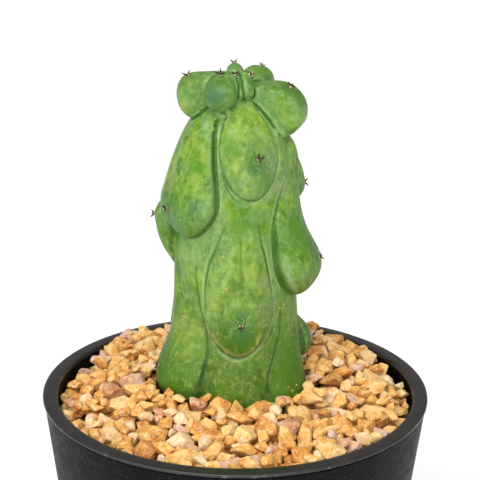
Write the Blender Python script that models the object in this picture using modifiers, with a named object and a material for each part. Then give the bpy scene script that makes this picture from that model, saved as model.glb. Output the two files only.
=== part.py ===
"""A boobie cactus (a lumpy Myrtillocactus) growing in a round plastic pot, dressed with gravel.

Metres, +Z up.  The origin is the middle of the pot's underside, on the ground.
The plant's own sizes are kept in millimetres: azimuth in degrees round the
plant's axis (0 is +X, -90 is -Y), height above the pot's rim, and radius.
"""
import bpy
import bmesh
import math
import numpy as np
import random
from collections import namedtuple
from mathutils import Matrix, Vector

MM = 0.001
GAP = 0.3                                 # clear space between touching pieces

# pot
RIM_RADIUS = 52.5
RIM_HEIGHT = 90.0
RIM_BAND = 4.0                            # width of the flat lip, seen from above
LIP_DEPTH = 1.0
WALL_TOP_RADIUS = 52.15
FOOT_RADIUS = 40.5
WALL_THICKNESS = 2.4
FLOOR_HEIGHT = 3.0                        # the floor stands this far off the ground
FLOOR_THICKNESS = 2.5
FOOT_RING_WIDTH = 3.5
DRAIN_RADIUS = 4.0
DRAIN_CIRCLE = 22.0
DRAIN_COUNT = 6
POT_STEPS = 48

# soil and gravel, heights from the rim
SOIL_TOP = -11.0
SOIL_CORNER = 2.5                         # bevel that clears the fillet over the pot's floor
GRAVEL_AT_WALL = -5.6
GRAVEL_AT_STEM = -1.6
STONE_COUNT = 230
STONE_SIZES = (2.8, 4.9)                  # half lengths
STONE_CORNERS = 9
GOLDEN_TURN = 2.4                         # radians from one corner to the next, which spreads them evenly
STONE_SEED = 11
STONE_TRIES = 9000
STONE_SPREAD = 0.64                       # least distance between two stones, over their half lengths

# plant
AXIS_Y = 8.0                              # the plant stands behind the pot's middle
ROOT_DEPTH = -24.0
CAGE_VOXEL = 1.3
SKIN_VOXEL = 0.85
SKIN_TRIANGLES = 5600
CREASE_DEPTH = 0.35
CREASE_WIDTH = 0.5
CREASE_FADE = 8.0                         # a crease dies out over this height above its top
BLEND = 0.5
CROWN_FLOOR = 64.0
SLOPE = 0.75                              # scales a radial distance to a rough true distance

# the stem without its lobes: height, radius
STEM = [(-40, 15.0), (-24, 16.4), (-14, 17.2), (-6, 18.2), (4, 17.9), (14, 17.0), (24, 16.3), (34, 15.9),
        (44, 15.7), (52, 15.6), (60, 15.1), (66, 14.1), (72, 12.3), (76, 10.2), (80, 7.0), (83, 3.0), (86, -2.0)]
# broad swellings of the stem: azimuth, height, reach in degrees, reach in height, rise
SWELLINGS = [(-86, 2, 30, 14, 0.8), (-152, 36, 32, 12, 1.5), (-30, 22, 24, 8, 0.8),
             (-85, 52, 20, 8, 0.8), (170, 22, 30, 12, 0.6), (-43, 63, 16, 8, 1.1)]

Lobe = namedtuple("Lobe", "outline ridge edge_drop edge_width side_fall crease_top")
Fin = namedtuple("Fin", "azimuth outline inner_half outer_half rounding")


# lobes that lie on the stem: outline, then the ridge as (height, radius)
LOBES = {
    "upper_front": Lobe(
        [(-79, 81.5), (-94, 80.5), (-106.5, 78), (-110.3, 73), (-108.8, 67.8), (-101.5, 62),
         (-91, 57.8), (-78, 56), (-66, 56.8), (-54, 59.8), (-44, 64.2), (-39, 68.4), (-44, 72.6),
         (-51, 77), (-61, 80.4)],
        [(82, 7.0), (79, 10.0), (76, 12.6), (72, 15.0), (68, 16.7), (64, 17.5), (60, 17.8), (56, 17.6),
         (54, 17.2)],
        1.4, 2.0, 1.2, 90),
    "upper_front_left": Lobe(
        [(-127, 79), (-119.5, 73), (-116, 68), (-113, 62.5), (-110.5, 57), (-111.5, 52.8),
         (-117, 49.6), (-130, 45.4), (-150, 44.4), (-172, 48.5), (-188, 58), (-188, 70), (-166, 78)],
        [(80, 7.0), (76, 11.6), (72, 14.2), (68, 16.0), (64, 17.5), (60, 18.8), (56, 20.0),
         (53, 20.9), (50, 20.9), (47, 19.8), (44.5, 18.2)],
        1.6, 2.6, 1.0, 90),
    "upper_left": Lobe(
        [(165, 64), (183, 60), (189, 50), (189, 40), (181, 32), (168, 32), (157, 40), (155, 54)],
        [(64, 13.5), (58, 15.8), (52, 19.4), (49.5, 21.5), (47, 22.5), (44.5, 22.2), (40, 21.2),
         (37.5, 20.2), (34.5, 18.6), (32, 17.4)],
        1.8, 2.8, 1.4, 90),
    "upper_right": Lobe(
        [(-14, 72), (-24, 67), (-36, 61.7), (-45, 57.2), (-50.5, 51.5), (-53, 46.5), (-49, 38.8),
         (-43.5, 33.4), (-33, 28.4), (-16, 27.6), (1, 32.6), (5, 42), (2, 58), (-1, 66)],
        [(72, 13.6), (68, 15.9), (64, 16.7), (60, 16.8), (54, 17.1), (48, 18.2), (44, 19.6),
         (41, 21.2), (38, 22.8), (35.5, 23.5), (33, 23.4), (30.5, 22.4), (28.5, 21.0), (27, 19.4)],
        1.6, 2.4, 1.0, 60),
    "upper_right_back": Lobe(
        [(4, 62), (4, 53), (18, 50), (32, 56), (31, 66), (16, 71)],
        [(70, 13.8), (64, 16.2), (59, 18.1), (55, 18.8), (52, 18.0), (50, 16.6)],
        2.2, 3.0, 1.0, 90),
    "lower_front": Lobe(
        [(-85, 58), (-99, 49.8), (-108, 43.8), (-116.6, 38), (-119.6, 31), (-118.6, 24.6),
         (-113, 19.6), (-104.6, 15.2), (-94, 12.9), (-85, 12.6), (-75, 14.4), (-66.5, 17.2), (-60, 20.6),
         (-55.6, 25), (-56, 30), (-60.4, 38), (-66.5, 44.8)],
        [(58, 14.2), (52, 15.4), (46, 16.4), (40, 17.2), (34, 17.9), (28, 18.7), (22, 19.3),
         (17, 19.5), (13.5, 18.9), (11, 18.2)],
        1.5, 2.2, 1.2, 40),
    "lower_front_left": Lobe(
        [(-152, 50), (-137, 41.5), (-129, 30), (-119, 18.5), (-117, 9), (-123, 0), (-145, -5),
         (-170, -3), (-184, 10), (-185, 28), (-178, 43)],
        [(50, 15.6), (44, 16.9), (38, 17.4), (34, 17.6), (28, 17.9), (22, 18.2), (16, 18.9),
         (11, 20.4), (7, 21.9), (3, 22.6), (0, 22.2), (-3, 20.8), (-6, 18)],
        1.3, 3.6, 1.6, -20),
    "lower_right": Lobe(
        [(-26, 41), (-40, 31), (-43, 19.5), (-55, 9.6), (-61, 3), (-54, -6), (-34, -11),
         (-10, -7), (-2, 6), (-3, 30)],
        [(41, 15.8), (34, 16.9), (28, 17.2), (22, 17.4), (16, 18.0), (10, 18.8), (4, 20.0),
         (-1, 20.9), (-6, 20.0), (-10, 18)],
        1.0, 3.2, 1.2, -20),
    "lower_right_back": Lobe(
        [(-6, 13), (-5, 8), (5, 5.2), (20, 5.4), (31, 9.6), (27, 15.6), (14, 18), (1, 17)],
        [(18.5, 17.2), (16, 18.9), (13.5, 20.6), (11.5, 21.2), (8.5, 20.9), (6.5, 19.8), (5, 18.4)],
        1.8, 2.6, 1.0, 90),
}


def like(name, turn, lift, wide=1.0, swell=0.0):
    """Another lobe of the same form: turned round the stem, lifted, made narrower and fuller."""
    lobe = LOBES[name]
    middle = sum(azimuth for azimuth, _ in lobe.outline) / len(lobe.outline)
    outline = [(middle + turn + (azimuth - middle) * wide, height + lift) for azimuth, height in lobe.outline]
    ridge = [(height + lift, radius + swell) for height, radius in lobe.ridge]
    return lobe._replace(outline=outline, ridge=ridge, crease_top=lobe.crease_top + lift)


# the hidden side repeats the forms of the front
LOBES.update(
    upper_back=like("upper_front", 170, -4, 1.0, 1.2),
    upper_back_left=like("upper_front_left", -76, -6, 0.75, -0.4),
    upper_back_right=like("upper_front", 128, 2, 0.75, -0.6),
    lower_back=like("lower_front", 176, -3, 0.95, 0.4),
    lower_back_right=like("lower_front", 130, 7, 0.7, 0.2),
    lower_back_left=like("lower_front", -138, -6, 0.75, 0.6),
    lower_left=like("lower_front", -100, -9, 0.7, 1.0),
)

# narrow grooves in the skin: depth, then (azimuth, height) along each
GROOVE_WIDTH = 0.6
GROOVE_FADE = 3.0                         # a groove runs out over this length at its ends
GROOVES = [
    (0.45, [(-115, 75), (-114, 67.5), (-104, 59), (-91, 54), (-76, 52.9), (-60, 55), (-42, 60.5),
            (-31, 67), (-35, 73)]),
    (0.55, [(-96, 51), (-107, 45.5), (-115, 38), (-118.5, 29)]),
    (0.55, [(-72, 51), (-63, 41.5), (-57, 33), (-56, 26)]),
    (0.70, [(-133, 36), (-128, 28), (-119, 18.5), (-117, 9), (-121, 1)]),
    (0.70, [(-41, 27), (-43, 19.5), (-55, 9.6), (-61, 3), (-58, -1)]),
    (0.50, [(-85, 46), (-86, 39), (-84, 32)]),
    (0.50, [(-50, 50), (-43, 50), (-36, 45)]),
]

# lobes of the crown stand out from the growing tip as thick fins: corners as (radius, height)
FINS = {
    "crown_front": Fin(-73, [(3.5, 86.4), (6.0, 87.3), (7.0, 87.0), (7.5, 84.4), (6.9, 82.0), (3.5, 81.8)],
                       0.7, 0.95, 0.9),
    "crown_tip": Fin(-91, [(2.0, 86.2), (6.2, 86.6), (6.9, 84.5), (6.6, 81.8), (2.0, 81.6)], 0.9, 0.9, 0.7),
    "crown_left": Fin(-176, [(2.0, 83.4), (8.0, 83.8), (12.5, 83.3), (13.7, 80.9), (12.9, 78.2),
                             (10.4, 76.8), (5.8, 78.3)], 1.2, 1.8, 2.6),
    "crown_back": Fin(98, [(5.0, 84.6), (8.0, 84.9), (8.6, 82.0), (5.0, 80.0)], 0.0, 0.1, 2.1),
    "crown_back_left": Fin(142, [(4.0, 82.0), (9.8, 81.6), (10.0, 79.0), (5.0, 77.5)], 0.8, 2.0, 2.6),
    "crown_back_right": Fin(56, [(5.0, 83.0), (9.4, 83.5), (10.6, 81.2), (9.6, 78.0), (5.0, 78.0)],
                            0.0, 0.9, 3.0),
    "crown_right": Fin(-16, [(2.0, 80.9), (5.0, 81.4), (9.0, 82.1), (12.8, 81.7), (15.6, 78.8), (15.6, 75.2),
                             (12.8, 72.9), (9.6, 73.8), (5.4, 76.9)], 2.6, 2.4, 2.3),
}
# one crown lobe is an egg: (azimuth, radius, height, ball radius) of its two ends
EGG = [(-118, 7.2, 83.7, 3.8), (-119, 9.5, 82.3, 4.3)]

# areoles: azimuth, radius to search from, height, spines
AREOLES = [(-71, 18, 68, 4), (-153, 21, 52, 4), (176, 23, 47, 4), (-14, 24, 38, 4), (16, 20, 55, 3),
           (-86, 20, 22.3, 4), (-160, 23, 6.5, 4), (8, 22, 11, 3), (97, 21, 62, 4), (131, 21, 46, 4),
           (54, 19, 69, 3), (44, 21, 27, 4), (89, 22, 17, 4), (134, 22, 14, 4), (172, 22, 11, 3),
           (-122, 9, 88, 4), (-174, 14, 87, 3), (-15, 15, 85, 4), (-66.5, 8, 87.6, 3), (98, 9, 87, 3),
           (56, 11, 86, 3), (142, 10, 85, 3), (-97, 7, 89, 3)]
PAD_RADIUS = 1.0
SPINE_LENGTH = 2.3
SPINE_RADIUS = 0.27
SPINE_TIP = 0.04
SPINE_SIDES = 5
SPINE_ROOT = 0.5                          # how far a spine starts below the skin
SPINE_SEED = 5


def polar(azimuth, radius, height):
    """A point of the plant, in millimetres, from its azimuth, radius and height above the rim."""
    turn = math.radians(azimuth)
    return np.array([radius * math.cos(turn), AXIS_Y + radius * math.sin(turn), height])


def through(points, closed=True, steps=3):
    """A smooth line through the points, which are pairs."""
    points = np.array(points, float)
    count = len(points)
    line = []
    for i in range(count if closed else count - 1):
        if closed:
            a, b, c, d = (points[(i + j) % count] for j in (-1, 0, 1, 2))
        else:
            a, b, c, d = (points[min(max(i + j, 0), count - 1)] for j in (-1, 0, 1, 2))
        for t in np.arange(steps) / steps:
            line.append(0.5 * (2 * b + (c - a) * t + (2 * a - 5 * b + 4 * c - d) * t * t
                               + (3 * b - a - 3 * c + d) * t ** 3))
    if not closed:
        line.append(points[-1])
    return np.array(line)


def line_distance(across, height, line, closed=True):
    """Distance of each point to a line; inside a closed one it is positive, outside negative."""
    best = np.full(across.shape, 1e9)
    inside = np.zeros(across.shape, bool)
    for i in range(len(line) if closed else len(line) - 1):
        start, end = line[i], line[(i + 1) % len(line)]
        edge = end - start
        dx, dz = across - start[0], height - start[1]
        t = np.clip((dx * edge[0] + dz * edge[1]) / (edge @ edge + 1e-12), 0, 1)
        best = np.minimum(best, (dx - edge[0] * t) ** 2 + (dz - edge[1] * t) ** 2)
        spans = (start[1] > height) != (end[1] > height)
        inside ^= spans & (dx < edge[0] * dz / (edge[1] or 1.0))
    distance = np.sqrt(best)
    return np.where(inside, distance, -distance) if closed else distance


def curve(pairs, height):
    """A smooth curve through (height, value) pairs."""
    pairs = np.array(sorted(pairs), float)
    x, y = pairs.T
    slope = np.gradient(y, x)
    i = np.clip(np.searchsorted(x, height) - 1, 0, len(x) - 2)
    step = x[i + 1] - x[i]
    t = np.clip((height - x[i]) / step, 0, 1)
    return ((2 * t ** 3 - 3 * t ** 2 + 1) * y[i] + (t ** 3 - 2 * t ** 2 + t) * step * slope[i]
            + (3 * t ** 2 - 2 * t ** 3) * y[i + 1] + (t ** 3 - t ** 2) * step * slope[i + 1])


def smooth_max(a, b, blend=BLEND):
    """The larger of two values, rounded where they meet."""
    h = np.maximum(blend - np.abs(a - b), 0)
    return np.maximum(a, b) + h * h / (4 * blend)


def smooth_min(a, b, blend=BLEND):
    """The smaller of two values, rounded where they meet."""
    return -smooth_max(-a, -b, blend)


def turn_between(azimuth, middle):
    """Degrees from middle to azimuth, between -180 and 180."""
    return (azimuth - middle + 180) % 360 - 180


def unrolled(lobe):
    """A lobe's outline laid flat in millimetres, with its middle azimuth, radius and half width."""
    line = through(lobe.outline)
    middle = (line[:, 0].min() + line[:, 0].max()) / 2
    radius = np.mean([r for _, r in lobe.ridge])
    line[:, 0] = np.radians(line[:, 0] - middle) * radius
    return line, middle, radius, max(4.0, np.ptp(line[:, 0]) / 2)


FLAT_LOBES = {name: unrolled(lobe) for name, lobe in LOBES.items()}
FLAT_GROOVES = [(depth, through(points, False)) for depth, points in GROOVES]


def lobe_skin(name, azimuth, height):
    """Which points are near a lobe, and its skin's radius there: the ridge, less its fall to the outline."""
    lobe = LOBES[name]
    line, middle, radius, half = FLAT_LOBES[name]
    across = np.radians(turn_between(azimuth, middle)) * radius
    beside = np.abs(across) < half + 1.5
    near = np.flatnonzero(beside & (height > line[:, 1].min() - 1.5) & (height < line[:, 1].max() + 1.5))
    depth = line_distance(across[near], height[near], line)
    t = np.clip(depth / lobe.edge_width, 0, 1)
    fall = lobe.side_fall * (1 - np.clip(depth / half, 0, 1)) ** 2
    drop = lobe.edge_drop * (1 - np.sqrt(1 - (1 - t) ** 2))
    return near, curve(lobe.ridge, height[near]) - fall - drop + np.minimum(depth, 0) * 6


def stem_radius(azimuth, height):
    """Radius of the stem without its lobes."""
    radius = curve(STEM, height)
    for middle, level, reach, tall, rise in SWELLINGS:
        away = (turn_between(azimuth, middle) / reach) ** 2 + ((height - level) / tall) ** 2
        radius = radius + rise * np.exp(-away)
    return radius


def groove_depth(azimuth, height):
    """Depth of the narrow grooves at each place on the skin."""
    depth = np.zeros(azimuth.shape)
    radius = 17.0
    for deep, points in FLAT_GROOVES:
        middle = points[:, 0].mean()
        line = np.stack([np.radians(points[:, 0] - middle) * radius, points[:, 1]], -1)
        across = np.radians(turn_between(azimuth, middle)) * radius
        near = (np.abs(across) < 18) & (height > line[:, 1].min() - 3) & (height < line[:, 1].max() + 3)
        if near.any():
            s, z = across[near], height[near]
            away = line_distance(s, z, line, False)
            from_start, from_end = (np.hypot(s - end[0], z - end[1]) for end in (line[0], line[-1]))
            fade = np.clip(np.minimum(from_start, from_end) / GROOVE_FADE, 0.1, 1)
            depth[near] = np.maximum(depth[near], deep * fade * np.exp(-(away / GROOVE_WIDTH) ** 2))
    return depth


def fin_distance(points, fin):
    """Distance to a crown fin: a rounded outline in the upright plane through the axis, made thick."""
    turn = math.radians(fin.azimuth)
    x, y = points[:, 0], points[:, 1] - AXIS_Y
    out = x * math.cos(turn) + y * math.sin(turn)
    side = -x * math.sin(turn) + y * math.cos(turn)
    line = through(fin.outline, steps=4)
    away = -line_distance(out, points[:, 2], line)
    lo, hi = line[:, 0].min(), line[:, 0].max()
    half = fin.inner_half + (fin.outer_half - fin.inner_half) * np.clip((out - lo) / (hi - lo), 0, 1)
    over = np.abs(side) - half
    outside = np.hypot(np.maximum(away, 0), np.maximum(over, 0))
    return outside + np.minimum(np.maximum(away, over), 0) - fin.rounding


def egg_distance(points):
    """Distance to two balls joined by a cone."""
    (a, ra), (b, rb) = ((polar(*end[:3]), end[3]) for end in EGG)
    length = np.linalg.norm(b - a)
    along = (points - a) @ (b - a) / length
    away = np.sqrt(np.maximum(((points - a) ** 2).sum(1) - along ** 2, 0))
    lean = (rb - ra) / length
    t = np.clip((along + away * lean / math.sqrt(1 - lean * lean)) / length, 0, 1)
    return np.linalg.norm(points - (a + t[:, None] * (b - a)), axis=1) - (ra + (rb - ra) * t)


def rank(nearest, fade, near, layer, strength):
    """Keeps the two nearest layers at each point, and how strong the crease between them is."""
    first, second = nearest[0][near], nearest[1][near]
    before = np.where(layer < first, 1, fade[near])
    fade[near] = np.where(layer < second, np.minimum(strength, before), fade[near])
    nearest[1][near] = np.where(layer < first, first, np.minimum(second, layer))
    nearest[0][near] = np.minimum(first, layer)


def plant_field(points):
    """Rough signed distance to the plant's skin, negative inside."""
    x, y, height = points[:, 0], points[:, 1] - AXIS_Y, points[:, 2]
    radius, azimuth = np.hypot(x, y), np.degrees(np.arctan2(y, x))
    outer = stem_radius(azimuth, height)
    nearest = [(radius - outer) * SLOPE, np.full(radius.shape, 1e3)]
    fade = np.ones(radius.shape)
    for name, lobe in LOBES.items():
        near, skin = lobe_skin(name, azimuth, height)
        outer[near] = smooth_max(outer[near], skin)
        strength = np.clip((lobe.crease_top - height[near]) / CREASE_FADE + 1, 0, 1)
        rank(nearest, fade, near, (radius[near] - skin) * SLOPE, strength)
    total = (radius - outer + groove_depth(azimuth, height)) * SLOPE
    crown = np.flatnonzero(height > CROWN_FLOOR)
    for fin in list(FINS.values()) + [None]:
        layer = fin_distance(points[crown], fin) if fin else egg_distance(points[crown])
        total[crown] = smooth_min(total[crown], layer)
        rank(nearest, fade, crown, layer, 1.0)
    return total + CREASE_DEPTH * fade * np.exp(-((nearest[1] - nearest[0]) / CREASE_WIDTH) ** 2)


def plant_slope(points, step=0.05):
    """The field and its slope, by small differences."""
    here = plant_field(points)
    slope = [plant_field(points + step * np.eye(3)[axis]) - here for axis in range(3)]
    return here, np.stack(slope, axis=1) / step


def onto_skin(points, rounds, offset=0.0, reach=1.2):
    """Moves points along the field's slope until they lie on the skin, or off it by the offset."""
    points = points.copy()
    for _ in range(rounds):
        here, slope = plant_slope(points)
        size = np.maximum((slope ** 2).sum(1), 0.15)
        step = np.clip((here - offset) / size, -reach, reach)
        points -= slope * step[:, None]
    return points


def clear_scene():
    """Empties the file."""
    for thing in list(bpy.data.objects):
        bpy.data.objects.remove(thing, do_unlink=True)


def collection(name):
    """A collection under the scene, empty at first."""
    group = bpy.data.collections.new(name)
    bpy.context.scene.collection.children.link(group)
    return group


def material(name, colour, roughness):
    """A plain finish."""
    finish = bpy.data.materials.new(name)
    finish.use_nodes = True
    shader = finish.node_tree.nodes["Principled BSDF"]
    shader.inputs["Base Color"].default_value = (*colour, 1.0)
    shader.inputs["Roughness"].default_value = roughness
    finish.diffuse_color = (*colour, 1.0)
    return finish


def adopt(thing, name, group):
    """Names an object and moves it to a collection."""
    for old in list(thing.users_collection):
        old.objects.unlink(thing)
    group.objects.link(thing)
    thing.name = name
    thing.data.name = name
    return thing


def mesh_object(name, mesh, group):
    """An object for a mesh."""
    thing = bpy.data.objects.new(name, mesh)
    group.objects.link(thing)
    return thing


def apply_modifiers(thing):
    """Keeps the evaluated mesh and drops the modifiers."""
    bpy.context.view_layer.update()
    done = bpy.data.meshes.new_from_object(thing.evaluated_get(bpy.context.evaluated_depsgraph_get()))
    thing.modifiers.clear()
    thing.data = done
    return thing


def turned(name, profile, steps, group):
    """A solid of revolution from a profile of (radius, height) in millimetres, outer side top to bottom."""
    mesh = bpy.data.meshes.new(name)
    points = [(r * MM, 0, z * MM) for r, z in profile]
    mesh.from_pydata(points, [(i, i + 1) for i in range(len(points) - 1)], [])
    thing = mesh_object(name, mesh, group)
    screw = thing.modifiers.new("turn", "SCREW")
    screw.steps = steps
    screw.render_steps = steps
    screw.use_merge_vertices = True
    screw.merge_threshold = 0.00001
    return thing


def arc(centre, radius, start, end, count):
    """Points of a round corner, in degrees, as (radius, height)."""
    turns = [math.radians(start + (end - start) * i / count) for i in range(count + 1)]
    return [(centre[0] + radius * math.cos(t), centre[1] + radius * math.sin(t)) for t in turns]


def hide_cutter(thing):
    """Marks an object as a cutter."""
    thing.hide_render = True
    thing.display_type = "WIRE"


def cut(thing, cutter):
    """Cuts one object from another."""
    hide_cutter(cutter)
    boolean = thing.modifiers.new("cut " + cutter.name, "BOOLEAN")
    boolean.operation = "DIFFERENCE"
    boolean.object = cutter


def join_all(thing, pieces):
    """Fuses a collection of closed pieces to an object and removes them."""
    group = collection(thing.name + "_pieces")
    for piece in pieces:
        for old in list(piece.users_collection):
            old.objects.unlink(piece)
        group.objects.link(piece)
    union = thing.modifiers.new("fuse", "BOOLEAN")
    union.operation = "UNION"
    union.operand_type = "COLLECTION"
    union.collection = group
    union.solver = "MANIFOLD"
    apply_modifiers(thing)
    for piece in pieces:
        bpy.data.objects.remove(piece, do_unlink=True)
    bpy.data.collections.remove(group)
    return thing


def wall_radius(height):
    """Outer radius of the pot's wall at a height above the ground."""
    return FOOT_RADIUS + (WALL_TOP_RADIUS - FOOT_RADIUS) * height / (RIM_HEIGHT - LIP_DEPTH)


def inner_radius(height):
    """Inner radius of the pot at a height above the ground."""
    lip = RIM_RADIUS - RIM_BAND
    return min(wall_radius(height) - WALL_THICKNESS, lip)


def pot_profile():
    """Outer side from the lip's crown down to the foot ring, then the inner side back up."""
    top, lip = RIM_HEIGHT, RIM_RADIUS - RIM_BAND
    under = top - LIP_DEPTH
    floor_top = FLOOR_HEIGHT + FLOOR_THICKNESS
    foot_inner = FOOT_RADIUS - FOOT_RING_WIDTH
    profile = [(lip + RIM_BAND / 2, top)]
    profile += arc((RIM_RADIUS - 0.5, top - 0.5), 0.5, 80, 0, 4)
    profile += [(RIM_RADIUS - 0.05, under + 0.2), (wall_radius(under), under)]
    profile += arc((wall_radius(0) - 0.9, 1.0), 1.0, -7, -90, 3)
    profile += [(foot_inner, 0), (foot_inner - 0.8, FLOOR_HEIGHT), (0, FLOOR_HEIGHT), (0, floor_top)]
    profile += [(inner_radius(floor_top) - 2.0, floor_top), (inner_radius(floor_top + 2), floor_top + 2)]
    knee = next(h for h in range(10, 90) if wall_radius(h) - WALL_THICKNESS >= lip)
    profile += [(lip, knee)] + arc((lip + 0.9, top - 0.9), 0.8, 180, 100, 3)
    return profile + [profile[0]]


def make_pot(group, cutters, finish):
    """The pot, with a ring of drain holes in its raised floor."""
    pot = turned("pot", pot_profile(), POT_STEPS, group)
    pot.data.materials.append(finish)
    for i in range(DRAIN_COUNT):
        turn = 2 * math.pi * (i + 0.5) / DRAIN_COUNT
        bpy.ops.mesh.primitive_cylinder_add(
            vertices=16, radius=DRAIN_RADIUS * MM, depth=20 * MM,
            location=(DRAIN_CIRCLE * math.cos(turn) * MM, DRAIN_CIRCLE * math.sin(turn) * MM, FLOOR_HEIGHT * MM))
        cut(pot, adopt(bpy.context.object, "drain_%d" % i, cutters))
    return pot


def shell_object(name, group, offset, voxel, triangles, floor):
    """The plant's skin as a mesh, moved outwards by an offset and cut to a triangle count."""
    profile = [(0.0, STEM[-1][0] - 1.5)]
    profile += [(max(radius, 4.0) + 1.0, height) for height, radius in reversed(STEM) if floor + 2 < height < 84]
    profile += [(curve(STEM, floor) + offset, floor + 2), (curve(STEM, floor) + offset - 2, floor), (0.0, floor)]
    cage = turned(name, profile, 40, group)
    apply_modifiers(cage)
    cage.data.transform(Matrix.Translation((0, AXIS_Y * MM, 0)))
    balls = []
    for fin in FINS.values():
        corners = np.array(fin.outline)
        for out, height in [corners.mean(0)] + list(corners):
            bpy.ops.mesh.primitive_ico_sphere_add(
                subdivisions=3, radius=(fin.rounding + 0.5) * MM, location=polar(fin.azimuth, out, height) * MM)
            balls.append(bpy.context.object)
    for azimuth, out, height, radius in EGG:
        bpy.ops.mesh.primitive_ico_sphere_add(
            subdivisions=3, radius=radius * MM, location=polar(azimuth, out, height) * MM)
        balls.append(bpy.context.object)
    with bpy.context.temp_override(active_object=cage, selected_editable_objects=[cage] + balls):
        bpy.ops.object.join()
    for size, rounds in ((CAGE_VOXEL, 7), (voxel, 4), (voxel, 3)):
        remesh = cage.modifiers.new("even", "REMESH")
        remesh.mode = "VOXEL"
        remesh.voxel_size = size * MM
        apply_modifiers(cage)
        move_to_skin(cage.data, rounds, offset, floor)
    thin = cage.modifiers.new("thin", "DECIMATE")
    thin.ratio = min(1.0, triangles / (2 * len(cage.data.polygons)))
    apply_modifiers(cage)
    cage.data.transform(Matrix.Translation((0, 0, RIM_HEIGHT * MM)))
    return cage


def move_to_skin(mesh, rounds, offset, floor):
    """Evens out a mesh's points and moves them to the plant's skin; the flat root end stays flat."""
    count = len(mesh.vertices)
    points = np.empty(count * 3)
    mesh.vertices.foreach_get("co", points)
    points = points.reshape(-1, 3) / MM
    ends = np.empty(len(mesh.edges) * 2, dtype=np.int32)
    mesh.edges.foreach_get("vertices", ends)
    ends = ends.reshape(-1, 2)
    links = np.bincount(ends.ravel(), minlength=count)[:, None]
    loose = points[:, 2] > floor + 1.0
    for i in range(2):
        points[loose] = onto_skin(points[loose], rounds if i == 0 else 2, offset)
        if i == 0:
            total = np.zeros(points.shape)
            np.add.at(total, ends[:, 0], points[ends[:, 1]])
            np.add.at(total, ends[:, 1], points[ends[:, 0]])
            points[loose] += 0.5 * (total / links - points)[loose]
    mesh.vertices.foreach_set("co", (points * MM).ravel())
    mesh.update()


def spine(start, direction, length, radius):
    """A thin five-sided cone from below the skin to its tip."""
    facing = Vector(direction).to_track_quat("Z", "Y")
    bpy.ops.mesh.primitive_cone_add(
        vertices=SPINE_SIDES, radius1=radius * MM, radius2=SPINE_TIP * MM, depth=length * MM,
        location=(start + direction * length / 2) * MM, rotation=facing.to_euler())
    return bpy.context.object


def make_cactus(group, finish):
    """The plant in one piece: stem, lobes and crown, with a felt pad and spines at each lobe's tip."""
    cactus = shell_object("cactus", group, 0.0, SKIN_VOXEL, SKIN_TRIANGLES, ROOT_DEPTH)
    draw = random.Random(SPINE_SEED)
    starts = np.array([polar(azimuth, radius, height) for azimuth, radius, height, _ in AREOLES])
    skin = onto_skin(starts, 24)
    _, slopes = plant_slope(skin)
    lift = np.array([0, 0, RIM_HEIGHT])
    pieces = []
    for point, slope, (_, _, _, count) in zip(skin, slopes, AREOLES):
        outward = slope / np.linalg.norm(slope)
        facing = Vector(outward).to_track_quat("Z", "Y").to_matrix()
        bpy.ops.mesh.primitive_ico_sphere_add(
            subdivisions=1, radius=PAD_RADIUS * MM, location=(point + lift) * MM,
            rotation=facing.to_euler(), scale=(1, 1, 0.6))
        pieces.append(bpy.context.object)
        for i in range(count):
            turn = 2 * math.pi * (i + draw.uniform(-0.2, 0.2)) / count
            lean = math.radians(draw.uniform(38, 62))
            side = Vector((math.cos(turn), math.sin(turn), 0)) * math.sin(lean)
            way = np.array(facing @ (side + Vector((0, 0, math.cos(lean)))))
            length = SPINE_LENGTH * draw.uniform(0.8, 1.3)
            pieces.append(spine(point + lift - way * SPINE_ROOT, way, length, SPINE_RADIUS))
    join_all(cactus, pieces)
    cactus.data.materials.clear()
    cactus.data.materials.append(finish)
    return cactus


def gravel_level(x, y):
    """Height of the gravel bed over the rim plane: it rises from the wall to the stem."""
    out = math.hypot(x, y - AXIS_Y)
    t = min(max((out - 18) / 26, 0), 1)
    return GRAVEL_AT_STEM + (GRAVEL_AT_WALL - GRAVEL_AT_STEM) * t


def make_soil(group, finish):
    """The potting soil that fills the pot up to the gravel."""
    bottom = FLOOR_HEIGHT + FLOOR_THICKNESS + GAP
    top = RIM_HEIGHT + SOIL_TOP
    profile = [(0, top), (inner_radius(top) - GAP, top)]
    corner = bottom + SOIL_CORNER
    profile += [(inner_radius(corner) - GAP - 0.4, corner), (inner_radius(corner) - SOIL_CORNER - 0.7, bottom)]
    profile += [(0, bottom)]
    soil = turned("soil", profile, POT_STEPS, group)
    soil.data.materials.append(finish)
    return soil


def stone(centre, size, draw):
    """An angular stone: the hull of points on a squashed ball."""
    shape = bmesh.new()
    squash = Vector((1.0, draw.uniform(0.62, 0.9), draw.uniform(0.5, 0.75)))
    tilt = Matrix.Rotation(draw.uniform(0, 6.28), 3, "Z") @ Matrix.Rotation(draw.uniform(-0.5, 0.5), 3, "Y")
    for i in range(STONE_CORNERS):
        up = 1 - 2 * (i + 0.5) / STONE_CORNERS
        turn = i * GOLDEN_TURN + draw.uniform(-0.4, 0.4)
        side = math.sqrt(1 - up * up)
        ray = Vector((side * math.cos(turn), side * math.sin(turn), up)) * draw.uniform(0.82, 1.12)
        shape.verts.new((tilt @ Vector((ray.x * squash.x, ray.y * squash.y, ray.z * squash.z))) * size + centre)
    hull = bmesh.ops.convex_hull(shape, input=shape.verts)
    spare = [v for v in hull["geom_interior"] + hull["geom_unused"] if isinstance(v, bmesh.types.BMVert)]
    bmesh.ops.delete(shape, geom=spare, context="VERTS")
    bmesh.ops.recalc_face_normals(shape, faces=shape.faces)
    return shape


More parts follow.
